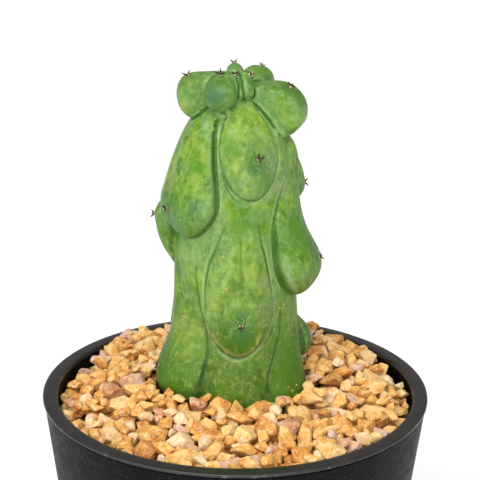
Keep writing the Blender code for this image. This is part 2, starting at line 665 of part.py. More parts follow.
def stone_spots(draw):
    """Places for the stones: spread evenly, larger ones first, clear of the wall and the plant."""
    tries = []
    for _ in range(STONE_TRIES):
        turn, out = draw.uniform(0, 2 * math.pi), 48 * math.sqrt(draw.uniform(0, 1))
        x, y = out * math.cos(turn), out * math.sin(turn)
        tries.append((x, y, gravel_level(x, y)))
    tries = np.array(tries)
    clear = np.minimum(plant_field(tries), plant_field(tries + (0, 0, 3)))
    spots = []
    for (x, y, z), room in zip(tries, clear):
        share = min(len(spots) / STONE_COUNT, 1.0)
        size = STONE_SIZES[1] + (STONE_SIZES[0] - STONE_SIZES[1]) * share ** 0.6 * draw.uniform(0.85, 1.0)
        beside_wall = math.hypot(x, y) > RIM_RADIUS - RIM_BAND - GAP - 0.4 - size
        crowded = any(math.hypot(x - a, y - b) < STONE_SPREAD * (size + s) for a, b, _, s in spots)
        if not (beside_wall or crowded or room < size * 0.9):
            spots.append((x, y, z + size * draw.uniform(0.0, 0.25), size))
        if len(spots) == STONE_COUNT:
            break
    return spots


def make_gravel(group, finish):
    """The gravel dressing: a bed with angular stones half sunk in it, open round the stem."""
    low = RIM_HEIGHT + SOIL_TOP + GAP
    lip = RIM_RADIUS - RIM_BAND - GAP
    rings = [(r, RIM_HEIGHT) for r in (0, 10, 18, 26, 34, 42, lip)]
    rings += [(inner_radius(low) - GAP, low), (0, low)]
    gravel = turned("gravel", rings, POT_STEPS, group)
    apply_modifiers(gravel)
    for point in gravel.data.vertices:
        if point.co.z > low * MM + 0.001:
            point.co.z += gravel_level(point.co.x / MM, point.co.y / MM) * MM
    draw = random.Random(STONE_SEED)
    stones = []
    for x, y, z, size in stone_spots(draw):
        shape = stone(Vector((x, y, z + RIM_HEIGHT)), size, draw)
        points = np.array([v.co[:] for v in shape.verts]) - (0, 0, RIM_HEIGHT)
        room = RIM_RADIUS - RIM_BAND - GAP - 0.1
        clear = plant_field(points).min() > 0.45 and np.hypot(points[:, 0], points[:, 1]).max() < room
        if clear:
            bmesh.ops.scale(shape, vec=(MM, MM, MM), verts=shape.verts)
            mesh = bpy.data.meshes.new("stone")
            shape.to_mesh(mesh)
            stones.append(mesh_object("stone", mesh, group))
        shape.free()
    join_all(gravel, stones)
    gravel.data.materials.clear()
    gravel.data.materials.append(finish)
    return gravel


def main():
    clear_scene()
    group = collection("boobie_cactus")
    cutters = collection("cutters")
    pot = make_pot(group, cutters, material("black_plastic", (0.022, 0.022, 0.024), 0.5))
    cactus = make_cactus(group, material("cactus_skin", (0.16, 0.33, 0.07), 0.5))
    soil = make_soil(group, material("potting_soil", (0.045, 0.028, 0.018), 0.95))
    gravel = make_gravel(group, material("golden_gravel", (0.72, 0.44, 0.2), 0.7))
    hole = shell_object("stem_hole", cutters, GAP + 0.05, 1.1, 2600, ROOT_DEPTH - 0.6)
    for piece in (soil, gravel):
        cut(piece, hole)


main()
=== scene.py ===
# %% [markdown]
# # A boobie cactus in a pot of golden gravel
#
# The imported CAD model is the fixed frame: a pot, its soil, a gravel bed and a cactus.
# This script dresses it for a photograph.  Each step below makes one thing and says what it made.
# Everything is in metres with +Z up; the plant's own sizes are kept in millimetres and scaled by MM.

# %%
import math
import random
from collections import namedtuple
from contextlib import contextmanager
from functools import partial

import bmesh
import bpy
import numpy as np
from mathutils import Euler, Matrix, Vector


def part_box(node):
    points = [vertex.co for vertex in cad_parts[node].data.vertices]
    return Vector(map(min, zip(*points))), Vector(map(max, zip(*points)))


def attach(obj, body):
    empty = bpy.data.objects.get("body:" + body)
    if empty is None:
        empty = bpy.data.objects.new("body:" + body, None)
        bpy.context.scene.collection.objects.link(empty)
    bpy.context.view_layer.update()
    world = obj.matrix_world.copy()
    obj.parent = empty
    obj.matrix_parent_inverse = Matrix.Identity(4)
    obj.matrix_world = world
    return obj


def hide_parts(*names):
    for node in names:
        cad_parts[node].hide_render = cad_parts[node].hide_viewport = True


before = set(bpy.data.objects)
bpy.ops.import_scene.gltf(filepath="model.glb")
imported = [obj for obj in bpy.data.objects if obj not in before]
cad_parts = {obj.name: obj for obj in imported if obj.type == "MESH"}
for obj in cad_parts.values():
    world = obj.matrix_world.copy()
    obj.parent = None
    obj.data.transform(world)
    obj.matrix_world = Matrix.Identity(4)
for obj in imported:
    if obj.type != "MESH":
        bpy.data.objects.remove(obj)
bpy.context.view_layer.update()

# %% [markdown]
# ## Sizes
#
# The pot's rim comes from the frame.  The plant stands a little behind the pot's middle,
# and its heights count from the rim.

# %%
MM = 0.001
pot_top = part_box("pot")[1]
RIM_RADIUS = pot_top.x / MM
RIM_HEIGHT = pot_top.z / MM
RIM_BAND = 4.0                            # width of the flat lip, seen from above
LIP_DEPTH = 1.0
WALL_TOP_RADIUS = RIM_RADIUS - 0.35
FOOT_RADIUS = RIM_RADIUS - 12.0
WALL_THICKNESS = 2.4
FLOOR_HEIGHT = 3.0
FLOOR_THICKNESS = 2.5
FOOT_RING_WIDTH = 3.5
DRAIN_RADIUS = 4.0
DRAIN_CIRCLE = 22.0
DRAIN_COUNT = 6

AXIS_Y = 8.0                              # the plant's axis
GRAVEL_AT_WALL = -2.2
GRAVEL_AT_STEM = 1.5
print("rim radius %.1f mm, rim height %.1f mm" % (RIM_RADIUS, RIM_HEIGHT))

# %% [markdown]
# ## The plant's form
#
# The same named values as in the CAD source: a stem that is turned from a curve, lobes that lie on
# it like flattened drops, narrow grooves between them, and the crown's fins round the growing tip.
# An outline is a list of (azimuth, height); a ridge is a list of (height, radius).

# %%
STEM = [(-40, 15.0), (-24, 16.4), (-14, 17.2), (-6, 18.2), (4, 17.9), (14, 17.0), (24, 16.3), (34, 15.9),
        (44, 15.7), (52, 15.6), (60, 15.1), (66, 14.1), (72, 12.3), (76, 10.2), (80, 7.0), (83, 3.0),
        (86, -2.0)]
# broad swellings of the stem: azimuth, height, reach in degrees, reach in height, rise
SWELLINGS = [(-86, 2, 30, 14, 0.8), (-152, 36, 32, 12, 1.5), (-30, 22, 24, 8, 0.8),
             (-85, 52, 20, 8, 0.8), (170, 22, 30, 12, 0.6), (-41, 64, 16, 9, 1.4)]

LOBES = {
    "upper_front": dict(
        outline=[(-79, 81.5), (-94, 80.5), (-106.5, 78), (-110.3, 73), (-108.8, 67.8), (-101.5, 62),
                 (-91, 57.8), (-78, 56), (-67, 56.8), (-57, 59.8), (-50, 64.2), (-46, 68.4), (-48, 72.6),
                 (-53, 77), (-62, 80.4)],
        ridge=[(82, 7.0), (79, 10.0), (76, 12.6), (72, 15.0), (68, 16.7), (64, 17.5), (60, 17.8), (56, 17.6),
               (54, 17.2)],
        edge_drop=1.1, edge_width=1.6, side_fall=1.4, crease_top=90),
    "upper_front_left": dict(
        outline=[(-127, 79), (-119.5, 73), (-116, 68), (-113, 62.5), (-110.5, 57), (-111.5, 52.8),
                 (-117, 49.6), (-130, 45.4), (-150, 44.4), (-172, 48.5), (-188, 58), (-188, 70), (-166, 78)],
        ridge=[(80, 7.0), (76, 11.6), (72, 14.2), (68, 16.0), (64, 17.5), (60, 18.8), (56, 20.0),
               (53, 20.9), (50, 20.9), (47, 19.8), (44.5, 18.2)],
        edge_drop=1.2, edge_width=2.0, side_fall=0.4, crease_top=90),
    "upper_left": dict(
        outline=[(165, 64), (183, 60), (189, 50), (189, 40), (181, 32), (168, 32), (157, 40), (155, 54)],
        ridge=[(64, 13.5), (58, 15.8), (52, 19.4), (49.5, 21.5), (47, 22.5), (44.5, 22.2), (40, 21.2),
               (37.5, 20.2), (34.5, 18.6), (32, 17.4)],
        edge_drop=1.5, edge_width=2.4, side_fall=1.4, crease_top=90),
    "upper_right": dict(
        outline=[(-14, 72), (-24, 67), (-36, 61.7), (-45, 57.2), (-50.5, 51.5), (-53, 46.5), (-49, 38.8),
                 (-43.5, 33.4), (-33, 28.4), (-16, 27.6), (1, 32.6), (5, 42), (2, 58), (-1, 66)],
        ridge=[(72, 13.6), (68, 15.9), (64, 16.7), (60, 16.8), (54, 17.1), (48, 18.2), (44, 19.6),
               (41, 21.2), (38, 22.8), (35.5, 23.5), (33, 23.4), (30.5, 22.4), (28.5, 21.0), (27, 19.4)],
        edge_drop=1.0, edge_width=1.5, side_fall=1.0, crease_top=56),
    "upper_right_back": dict(
        outline=[(4, 62), (4, 53), (18, 50), (32, 56), (31, 66), (16, 71)],
        ridge=[(70, 13.8), (64, 16.2), (59, 18.1), (55, 18.8), (52, 18.0), (50, 16.6)],
        edge_drop=2.2, edge_width=3.0, side_fall=1.0, crease_top=90),
    "lower_front": dict(
        outline=[(-85, 58), (-99, 49.8), (-108, 43.8), (-116.6, 38), (-119.6, 31), (-118.6, 24.6),
                 (-113, 19.6), (-104.6, 15.2), (-94, 12.9), (-85, 12.6), (-75, 14.4), (-66.5, 17.2),
                 (-60, 20.6), (-55.6, 25), (-56, 30), (-60.4, 38), (-66.5, 44.8)],
        ridge=[(58, 14.2), (52, 15.4), (46, 16.4), (40, 17.2), (34, 17.9), (28, 18.7), (22, 19.3),
               (17, 19.5), (13.5, 18.9), (11, 18.2)],
        edge_drop=1.2, edge_width=1.8, side_fall=1.2, crease_top=40),
    "lower_front_left": dict(
        outline=[(-152, 50), (-137, 41.5), (-129, 30), (-119, 18.5), (-117, 9), (-123, 0), (-145, -5),
                 (-170, -3), (-184, 10), (-185, 28), (-178, 43)],
        ridge=[(50, 15.6), (44, 16.9), (38, 17.4), (34, 17.6), (28, 17.9), (22, 18.2), (16, 18.9),
               (11, 20.8), (7, 22.6), (3, 23.6), (0, 23.2), (-3, 21.6), (-6, 18.4)],
        edge_drop=0.6, edge_width=1.2, side_fall=2.6, crease_top=-20),
    "lower_right": dict(
        outline=[(-26, 41), (-40, 31), (-43, 19.5), (-55, 9.6), (-61, 3), (-54, -6), (-34, -11),
                 (-10, -7), (-2, 6), (-3, 30)],
        ridge=[(41, 15.8), (34, 16.9), (28, 17.2), (22, 17.4), (16, 18.0), (10, 18.8), (4, 20.0),
               (-1, 20.9), (-6, 20.0), (-10, 18)],
        edge_drop=0.6, edge_width=1.2, side_fall=1.8, crease_top=-20),
    "lower_right_back": dict(
        outline=[(-6, 13), (-5, 8), (5, 5.2), (20, 5.4), (31, 9.6), (27, 15.6), (14, 18), (1, 17)],
        ridge=[(18.5, 17.2), (16, 18.9), (13.5, 20.6), (11.5, 21.2), (8.5, 20.9), (6.5, 19.8), (5, 18.4)],
        edge_drop=1.6, edge_width=2.4, side_fall=1.0, crease_top=90),
}


def like(name, turn, lift, wide=1.0, swell=0.0):
    """Another lobe of the same form: turned round the stem, lifted, made narrower and fuller."""
    lobe = LOBES[name]
    middle = sum(azimuth for azimuth, _ in lobe["outline"]) / len(lobe["outline"])
    outline = [(middle + turn + (azimuth - middle) * wide, height + lift)
               for azimuth, height in lobe["outline"]]
    ridge = [(height + lift, radius + swell) for height, radius in lobe["ridge"]]
    return dict(lobe, outline=outline, ridge=ridge, crease_top=lobe["crease_top"] + lift)


LOBES.update(
    upper_back=like("upper_front", 170, -4, 1.0, 1.2),
    upper_back_left=like("upper_front_left", -76, -6, 0.75, -0.4),
    upper_back_right=like("upper_front", 128, 2, 0.75, -0.6),
    lower_back=like("lower_front", 176, -3, 0.95, 0.4),
    lower_back_right=like("lower_front", 130, 7, 0.7, 0.2),
    lower_back_left=like("lower_front", -138, -6, 0.75, 0.6),
    lower_left=like("lower_front", -100, -9, 0.7, -0.9),
)
print(len(LOBES), "lobes on the stem")

# %% [markdown]
# Grooves are (depth, path).  A fin stands in an upright plane through the axis, so its corners are
# (radius, height), and it is made thick and round.  One crown lobe is an egg between two balls.

# %%
GROOVES = [
    (0.35, [(-109.6, 65.4), (-106.6, 63.2), (-99.6, 59), (-92, 56.2), (-84, 54.8)]),
    (0.35, [(-98.8, 50.5), (-107.6, 44.4), (-116.8, 38), (-119.8, 31)]),
    (0.35, [(-70, 51), (-66, 44.8), (-60, 38.5), (-55.6, 29)]),
    (0.42, [(-132.5, 36), (-128, 30.4), (-125.4, 24.8), (-118.4, 19), (-116.2, 12.4), (-117.6, 6.5),
            (-122, 1)]),
    (0.42, [(-43.5, 27), (-44.8, 22.7), (-47, 17), (-54.4, 10.9), (-60, 7), (-61, 2.9), (-58, -1)]),
    (0.32, [(-86.4, 47), (-86.2, 43), (-85.6, 38), (-83.6, 32)]),
    (0.40, [(-50, 53.5), (-44, 52), (-37.6, 49)]),
]
FINS = {
    "crown_front": dict(azimuth=-73, inner_half=0.7, outer_half=0.95, rounding=0.9, outline=[
        (3.5, 86.4), (6.0, 87.3), (7.0, 87.0), (7.5, 84.4), (6.9, 82.0), (3.5, 81.8)]),
    "crown_tip": dict(azimuth=-91, inner_half=0.9, outer_half=0.9, rounding=0.7, outline=[
        (2.0, 86.2), (6.6, 86.7), (7.6, 84.5), (7.2, 81.8), (2.0, 81.6)]),
    "crown_left": dict(azimuth=-176, inner_half=1.2, outer_half=1.8, rounding=2.6, outline=[
        (2.0, 83.4), (8.0, 83.8), (12.5, 83.3), (13.7, 80.9), (12.9, 78.2), (10.4, 76.8), (5.8, 78.3)]),
    "crown_back": dict(azimuth=98, inner_half=0.0, outer_half=0.1, rounding=2.1, outline=[
        (5.0, 84.6), (8.0, 84.9), (8.6, 82.0), (5.0, 80.0)]),
    "crown_back_left": dict(azimuth=142, inner_half=0.8, outer_half=2.0, rounding=2.6, outline=[
        (4.0, 82.0), (9.8, 81.6), (10.0, 79.0), (5.0, 77.5)]),
    "crown_back_right": dict(azimuth=56, inner_half=0.0, outer_half=0.9, rounding=3.0, outline=[
        (5.0, 83.0), (9.4, 83.5), (10.6, 81.2), (9.6, 78.0), (5.0, 78.0)]),
    "crown_right": dict(azimuth=-16, inner_half=2.6, outer_half=2.4, rounding=2.3, outline=[
        (2.0, 80.9), (5.0, 81.4), (9.0, 82.1), (12.8, 81.7), (15.6, 78.8), (15.6, 75.2), (12.8, 72.9),
        (9.6, 73.8), (5.4, 76.9)]),
}
EGG = [(-118, 7.2, 83.7, 3.8), (-119, 9.5, 82.3, 4.3)]    # azimuth, radius, height, ball radius
EGG_SHOULDERS = [(-111, 7.2, 85.2, 2.4), (-130, 7.9, 84.9, 2.5)]
# areoles: azimuth, radius to search from, height, spines
AREOLES = [(-71, 18, 68, 4), (-153, 21, 52, 4), (176, 23, 47, 4), (-14, 24, 38, 4), (16, 20, 55, 3),
           (-86, 20, 22.3, 4), (-160, 23, 6.5, 4), (8, 22, 11, 3), (97, 21, 62, 4), (131, 21, 46, 4),
           (54, 19, 69, 3), (44, 21, 27, 4), (89, 22, 17, 4), (134, 22, 14, 4), (172, 22, 11, 3),
           (-122, 9, 88, 4), (-174, 14, 87, 3), (-15, 15, 85, 4), (-66.5, 8, 87.6, 3), (98, 9, 87, 3),
           (56, 11, 86, 3), (142, 10, 85, 3), (-97, 7, 89, 3)]
CREASE_DEPTH = 0.36
CREASE_WIDTH = 0.24
CREASE_ANGLE = (0.2, 0.5)                 # how steeply two forms must meet for a faint and a full crease
CREASE_FADE = 8.0                         # a crease dies out over this height above its top
GROOVE_WIDTH = 0.3
GROOVE_FADE = 3.0
BLEND = 0.5                               # rounding where two forms meet
FULL_PROUD = 6.0                          # a lobe that stands out this far has its full edge
SLOPE = 0.75                              # scales a radial distance to a rough true distance
CROWN_FLOOR = 64.0
FAR = 1e3
print(len(GROOVES), "grooves,", len(FINS) + 1, "crown lobes,", len(AREOLES), "areoles")

# %% [markdown]
# ## From named values to a skin
#
# A field gives each point's rough distance to the skin.  First come the small tools it uses.

# %%
def polar(azimuth, radius, height):
    """A point of the plant, in millimetres, from its azimuth, radius and height above the rim."""
    turn = math.radians(azimuth)
    return np.array([radius * math.cos(turn), AXIS_Y + radius * math.sin(turn), height])


def through(points, closed=True, steps=3):
    """A smooth line through the points, which are pairs."""
    points = np.array(points, float)
    count = len(points)
    line = []
    for i in range(count if closed else count - 1):
        if closed:
            a, b, c, d = (points[(i + j) % count] for j in (-1, 0, 1, 2))
        else:
            a, b, c, d = (points[min(max(i + j, 0), count - 1)] for j in (-1, 0, 1, 2))
        for t in np.arange(steps) / steps:
            line.append(0.5 * (2 * b + (c - a) * t + (2 * a - 5 * b + 4 * c - d) * t * t
                               + (3 * b - a - 3 * c + d) * t ** 3))
    if not closed:
        line.append(points[-1])
    return np.array(line)


def line_distance(across, height, line, closed=True):
    """Distance of each point to a line; inside a closed one it is positive, outside negative."""
    best = np.full(across.shape, 1e9)
    inside = np.zeros(across.shape, bool)
    for i in range(len(line) if closed else len(line) - 1):
        start, end = line[i], line[(i + 1) % len(line)]
        edge = end - start
        dx, dz = across - start[0], height - start[1]
        t = np.clip((dx * edge[0] + dz * edge[1]) / (edge @ edge + 1e-12), 0, 1)
        best = np.minimum(best, (dx - edge[0] * t) ** 2 + (dz - edge[1] * t) ** 2)
        spans = (start[1] > height) != (end[1] > height)
        inside ^= spans & (dx < edge[0] * dz / (edge[1] or 1.0))
    distance = np.sqrt(best)
    return np.where(inside, distance, -distance) if closed else distance


def curve(pairs, height):
    """A smooth curve through (height, value) pairs."""
    x, y = np.array(sorted(pairs), float).T
    slope = np.gradient(y, x)
    i = np.clip(np.searchsorted(x, height) - 1, 0, len(x) - 2)
    step = x[i + 1] - x[i]
    t = np.clip((height - x[i]) / step, 0, 1)
    return ((2 * t ** 3 - 3 * t ** 2 + 1) * y[i] + (t ** 3 - 2 * t ** 2 + t) * step * slope[i]
            + (3 * t ** 2 - 2 * t ** 3) * y[i + 1] + (t ** 3 - t ** 2) * step * slope[i + 1])


def smooth_max(a, b, blend=BLEND):
    """The larger of two values, rounded where they meet."""
    h = np.maximum(blend - np.abs(a - b), 0)
    return np.maximum(a, b) + h * h / (4 * blend)


def turn_between(azimuth, middle):
    """Degrees from middle to azimuth, between -180 and 180."""
    return (azimuth - middle + 180) % 360 - 180


def azimuth_of(points):
    """Azimuth of each point round the plant's axis, in degrees."""
    return np.degrees(np.arctan2(points[:, 1] - AXIS_Y, points[:, 0]))


def across_at(azimuth, middle, radius):
    """How far each azimuth lies beside a middle one, in millimetres at this radius."""
    return np.radians(turn_between(azimuth, middle)) * radius


def laid_flat(line, middle, radius):
    """A line of (azimuth, height) laid flat about its middle azimuth, in millimetres."""
    return np.column_stack([np.radians(line[:, 0] - middle) * radius, line[:, 1]])


# %% [markdown]
# Lobes and grooves are laid flat once, so that each point is only measured against what is near it.

# %%
LEAST_HALF = 4.0                          # half the width of the narrowest lobe
LOBE_MARGIN = 1.5                         # a lobe is measured this far beyond its outline
LEAST_PROUD = 0.3
FALL_OUTSIDE = 6                          # how steeply its surface sinks beyond the outline
GROOVE_RADIUS = 17.0                      # the grooves are laid flat at this radius of the stem
GROOVE_BESIDE = 18
GROOVE_MARGIN = 3
GROOVE_END = 0.1                          # what is left of a groove's depth at its ends
EGG_BLEND = 1.5


def unrolled(lobe):
    """A lobe's outline laid flat in millimetres, with its middle azimuth, radius and half width."""
    line = through(lobe["outline"])
    middle = (line[:, 0].min() + line[:, 0].max()) / 2
    radius = np.mean([r for _, r in lobe["ridge"]])
    line = laid_flat(line, middle, radius)
    return line, middle, radius, max(LEAST_HALF, np.ptp(line[:, 0]) / 2)


FLAT_LOBES = {name: unrolled(lobe) for name, lobe in LOBES.items()}
FLAT_GROOVES = [(depth, through(points, False)) for depth, points in GROOVES]


def lobe_skin(name, azimuth, height):
    """Which points are near a lobe, and its skin's radius there: the ridge, less its fall to the outline.

    The lobe's edge is rounder where it stands out more.
    """
    lobe = LOBES[name]
    line, middle, radius, half = FLAT_LOBES[name]
    across = across_at(azimuth, middle, radius)
    beside = np.abs(across) < half + LOBE_MARGIN
    low, high = line[:, 1].min() - LOBE_MARGIN, line[:, 1].max() + LOBE_MARGIN
    near = np.flatnonzero(beside & (height > low) & (height < high))
    depth = line_distance(across[near], height[near], line)
    ridge = curve(lobe["ridge"], height[near])
    proud = np.clip((ridge - curve(STEM, height[near])) / FULL_PROUD, LEAST_PROUD, 1)
    t = np.clip(depth / (lobe["edge_width"] * proud), 0, 1)
    fall = lobe["side_fall"] * (1 - np.clip(depth / half, 0, 1)) ** 2
    drop = lobe["edge_drop"] * proud * (1 - np.sqrt(1 - (1 - t) ** 2))
    return near, ridge - fall - drop + np.minimum(depth, 0) * FALL_OUTSIDE


def stem_radius(azimuth, height):
    """Radius of the stem without its lobes."""
    radius = curve(STEM, height)
    for middle, level, reach, tall, rise in SWELLINGS:
        away = (turn_between(azimuth, middle) / reach) ** 2 + ((height - level) / tall) ** 2
        radius = radius + rise * np.exp(-away)
    return radius


def groove_depth(azimuth, height):
    """Depth of the narrow grooves at each place on the skin."""
    depth = np.zeros(azimuth.shape)
    for deep, points in FLAT_GROOVES:
        middle = points[:, 0].mean()
        line = laid_flat(points, middle, GROOVE_RADIUS)
        across = across_at(azimuth, middle, GROOVE_RADIUS)
        low, high = line[:, 1].min() - GROOVE_MARGIN, line[:, 1].max() + GROOVE_MARGIN
        near = (np.abs(across) < GROOVE_BESIDE) & (height > low) & (height < high)
        if near.any():
            s, z = across[near], height[near]
            away = line_distance(s, z, line, False)
            from_start, from_end = (np.hypot(s - end[0], z - end[1]) for end in (line[0], line[-1]))
            fade = np.clip(np.minimum(from_start, from_end) / GROOVE_FADE, GROOVE_END, 1)
            depth[near] = np.maximum(depth[near], deep * fade * np.exp(-(away / GROOVE_WIDTH) ** 2))
    return depth


def fin_distance(points, fin):
    """Distance to a crown fin: a rounded outline in the upright plane through the axis, made thick."""
    turn = math.radians(fin["azimuth"])
    x, y = points[:, 0], points[:, 1] - AXIS_Y
    out = x * math.cos(turn) + y * math.sin(turn)
    side = -x * math.sin(turn) + y * math.cos(turn)
    line = through(fin["outline"], steps=4)
    away = -line_distance(out, points[:, 2], line)
    lo, hi = line[:, 0].min(), line[:, 0].max()
    thick = np.clip((out - lo) / (hi - lo), 0, 1)
    over = np.abs(side) - fin["inner_half"] - (fin["outer_half"] - fin["inner_half"]) * thick
    outside = np.hypot(np.maximum(away, 0), np.maximum(over, 0))
    return outside + np.minimum(np.maximum(away, over), 0) - fin["rounding"]


def egg_distance(points):
    """Distance to two balls joined by a cone, with smaller balls as shoulders."""
    (a, ra), (b, rb) = ((polar(*ball[:3]), ball[3]) for ball in EGG)
    length = np.linalg.norm(b - a)
    along = (points - a) @ (b - a) / length
    away = np.sqrt(np.maximum(((points - a) ** 2).sum(1) - along ** 2, 0))
    lean = (rb - ra) / length
    t = np.clip((along + away * lean / math.sqrt(1 - lean * lean)) / length, 0, 1)
    body = (ra + (rb - ra) * t) - np.linalg.norm(points - (a + t[:, None] * (b - a)), axis=1)
    for *place, radius in EGG_SHOULDERS:
        body = smooth_max(body, radius - np.linalg.norm(points - polar(*place), axis=1), EGG_BLEND)
    return -body


# %% [markdown]
# The field keeps the two nearest forms at each point.  Where they are equally near there is a crease,
# which is carved, and which the skin's colour uses later.

# %%
def rank(nearest, fade, near, layer, strength):
    """Keeps the two nearest layers at each point, and how strong the crease between them is."""
    first, second = nearest[0][near], nearest[1][near]
    before = np.where(layer < first, 1, fade[near])
    fade[near] = np.where(layer < second, np.minimum(strength, before), fade[near])
    nearest[1][near] = np.where(layer < first, first, np.minimum(second, layer))
    nearest[0][near] = np.minimum(first, layer)


def plant_layers(points):
    """Distance to the uncreased skin, how far apart the two nearest forms are, crease strength, groove."""
    radius, height = np.hypot(points[:, 0], points[:, 1] - AXIS_Y), points[:, 2]
    azimuth = azimuth_of(points)
    outer = stem_radius(azimuth, height)
    nearest = [(radius - outer) * SLOPE, np.full(radius.shape, FAR)]
    fade = np.ones(radius.shape)
    for name, lobe in LOBES.items():
        near, skin = lobe_skin(name, azimuth, height)
        outer[near] = smooth_max(outer[near], skin)
        strength = np.clip((lobe["crease_top"] - height[near]) / CREASE_FADE + 1, 0, 1)
        rank(nearest, fade, near, (radius[near] - skin) * SLOPE, strength)
    groove = groove_depth(azimuth, height)
    total = (radius - outer) * SLOPE
    crown = np.flatnonzero(height > CROWN_FLOOR)
    for fin in list(FINS.values()) + [None]:
        layer = fin_distance(points[crown], fin) if fin else egg_distance(points[crown])
        total[crown] = -smooth_max(-total[crown], -layer)
        rank(nearest, fade, crown, layer, 1.0)
    return total, nearest[1] - nearest[0], fade, groove


def plant_slope(points, step=0.05):
    """The rough distance to the uncreased skin, and its slope by small differences."""
    here = plant_layers(points)[0]
    slope = [plant_layers(points + step * np.eye(3)[axis])[0] - here for axis in range(3)]
    return here, np.stack(slope, axis=1) / step


def crease_distance(points, step=0.06):
    """Distance along the skin to the nearest crease, that crease's strength, and the depth of a groove."""
    _, apart, fade, groove = plant_layers(points)
    steep = np.zeros(apart.shape)
    for axis in range(3):
        sides = [np.abs(plant_layers(points + way * step * np.eye(3)[axis])[1] - apart) for way in (-1, 1)]
        steep += (np.maximum(*sides) / step) ** 2
    steep = np.sqrt(steep)
    low, high = CREASE_ANGLE
    return apart / np.maximum(steep, low), fade * np.clip((steep - low) / (high - low), 0, 1), groove


STEP_REACH = 1.2                          # a point moves no further than this in one round
LEAST_STEEP = 0.15


def onto_skin(points, rounds):
    """Moves points along the field's slope until they lie on the uncreased skin."""
    points = points.copy()
    for _ in range(rounds):
        here, slope = plant_slope(points)
        size = np.maximum((slope ** 2).sum(1), LEAST_STEEP)
        points -= slope * np.clip(here / size, -STEP_REACH, STEP_REACH)[:, None]
    return points


# %% [markdown]
# ## A mesh for the skin
#
# A turned cage with balls in the crown lobes is remeshed finer and finer, and moved to the skin each time.

# %%
def new_object(name, data):
    """An object for a mesh, a lamp or a camera, at the origin."""
    thing = bpy.data.objects.new(name, data)
    bpy.context.scene.collection.objects.link(thing)
    return thing


def built(name, made):
    """Turns a finished bmesh into an object of that name."""
    mesh = bpy.data.meshes.new(name)
    made.to_mesh(mesh)
    made.free()
    return new_object(name, mesh)


@contextmanager
def edited(mesh):
    """Opens a mesh as a bmesh, and writes it back at the end."""
    made = bmesh.new()
    made.from_mesh(mesh)
    yield made
    made.to_mesh(mesh)
    made.free()


def apply_modifiers(thing):
    """Keeps the evaluated mesh and drops the modifiers."""
    bpy.context.view_layer.update()
    done = bpy.data.meshes.new_from_object(thing.evaluated_get(bpy.context.evaluated_depsgraph_get()))
    thing.modifiers.clear()
    thing.data = done
    thing.data.name = thing.name
    return thing


def turned(name, profile, steps):
    """A solid of revolution from a profile of (radius, height) in millimetres, outer side top to bottom."""
    mesh = bpy.data.meshes.new(name)
    edges = [(i, i + 1) for i in range(len(profile) - 1)]
    mesh.from_pydata([(r * MM, 0, z * MM) for r, z in profile], edges, [])
    thing = new_object(name, mesh)
    screw = thing.modifiers.new("turn", "SCREW")
    screw.steps = steps
    screw.render_steps = steps
    screw.use_merge_vertices = True
    screw.merge_threshold = 0.00001
    return apply_modifiers(thing)


def smooth(thing):
    """Shades an object smooth."""
    thing.data.polygons.foreach_set("use_smooth", [True] * len(thing.data.polygons))
    return thing


def places(mesh):
    """A mesh's points as an array, in millimetres."""
    points = np.empty(len(mesh.vertices) * 3)
    mesh.vertices.foreach_get("co", points)
    return points.reshape(-1, 3) / MM


def evened(mesh, points):
    """Each point moved half way to the middle of its neighbours."""
    ends = np.empty(len(mesh.edges) * 2, dtype=np.int32)
    mesh.edges.foreach_get("vertices", ends)
    ends = ends.reshape(-1, 2)
    total = np.zeros(points.shape)
    np.add.at(total, ends[:, 0], points[ends[:, 1]])
    np.add.at(total, ends[:, 1], points[ends[:, 0]])
    links = np.bincount(ends.ravel(), minlength=len(points))[:, None]
    return points + 0.5 * (total / links - points)


SKIN_FLOOR = -9.0                         # the skin goes on below the gravel, down to here
SKIN_SIZES = (1.3, 0.9, 0.68)             # voxels, coarse to fine
SKIN_ROUNDS = (7, 4, 3)
CREASE_REACHES = (0.85, 0.42)             # the skin is cut finer this near to a crease, twice
CREASE_SEEN, GROOVE_SEEN = 0.1, 0.3       # fainter creases and grooves aren't cut finer
SETTLE_ROUNDS = 2
CAGE_GROWTH = 1.0                         # the cage stands this far outside the stem
CAGE_TOP = 84
CAGE_LEAST = 4.0
CAGE_STEPS = 40
BALL_GROWTH = 0.5


def skin_cage():
    """A closed form close to the plant: the stem, with balls at the corners of each crown lobe."""
    profile = [(0.0, STEM[-1][0] - 1.5)]
    profile += [(max(radius, CAGE_LEAST) + CAGE_GROWTH, height) for height, radius in reversed(STEM)
                if SKIN_FLOOR + 1 < height < CAGE_TOP]
    end = float(curve(STEM, SKIN_FLOOR))
    profile += [(end, SKIN_FLOOR + 1), (end - 1, SKIN_FLOOR), (0.0, SKIN_FLOOR)]
    cage = turned("cactus_skin", profile, CAGE_STEPS)
    cage.data.transform(Matrix.Translation((0, AXIS_Y * MM, 0)))
    balls = EGG + EGG_SHOULDERS
    for fin in FINS.values():
        corners = np.array(fin["outline"])
        for out, height in [corners.mean(0)] + list(corners):
            balls.append((fin["azimuth"], out, height, fin["rounding"] + BALL_GROWTH))
    with edited(cage.data) as made:
        for azimuth, out, height, radius in balls:
            at = Matrix.Translation(polar(azimuth, out, height) * MM)
            bmesh.ops.create_icosphere(made, subdivisions=3, radius=radius * MM, matrix=at)
    return cage


def put(mesh, points):
    """Moves a mesh's points to these places, in millimetres."""
    mesh.vertices.foreach_set("co", (points * MM).ravel())
    mesh.update()


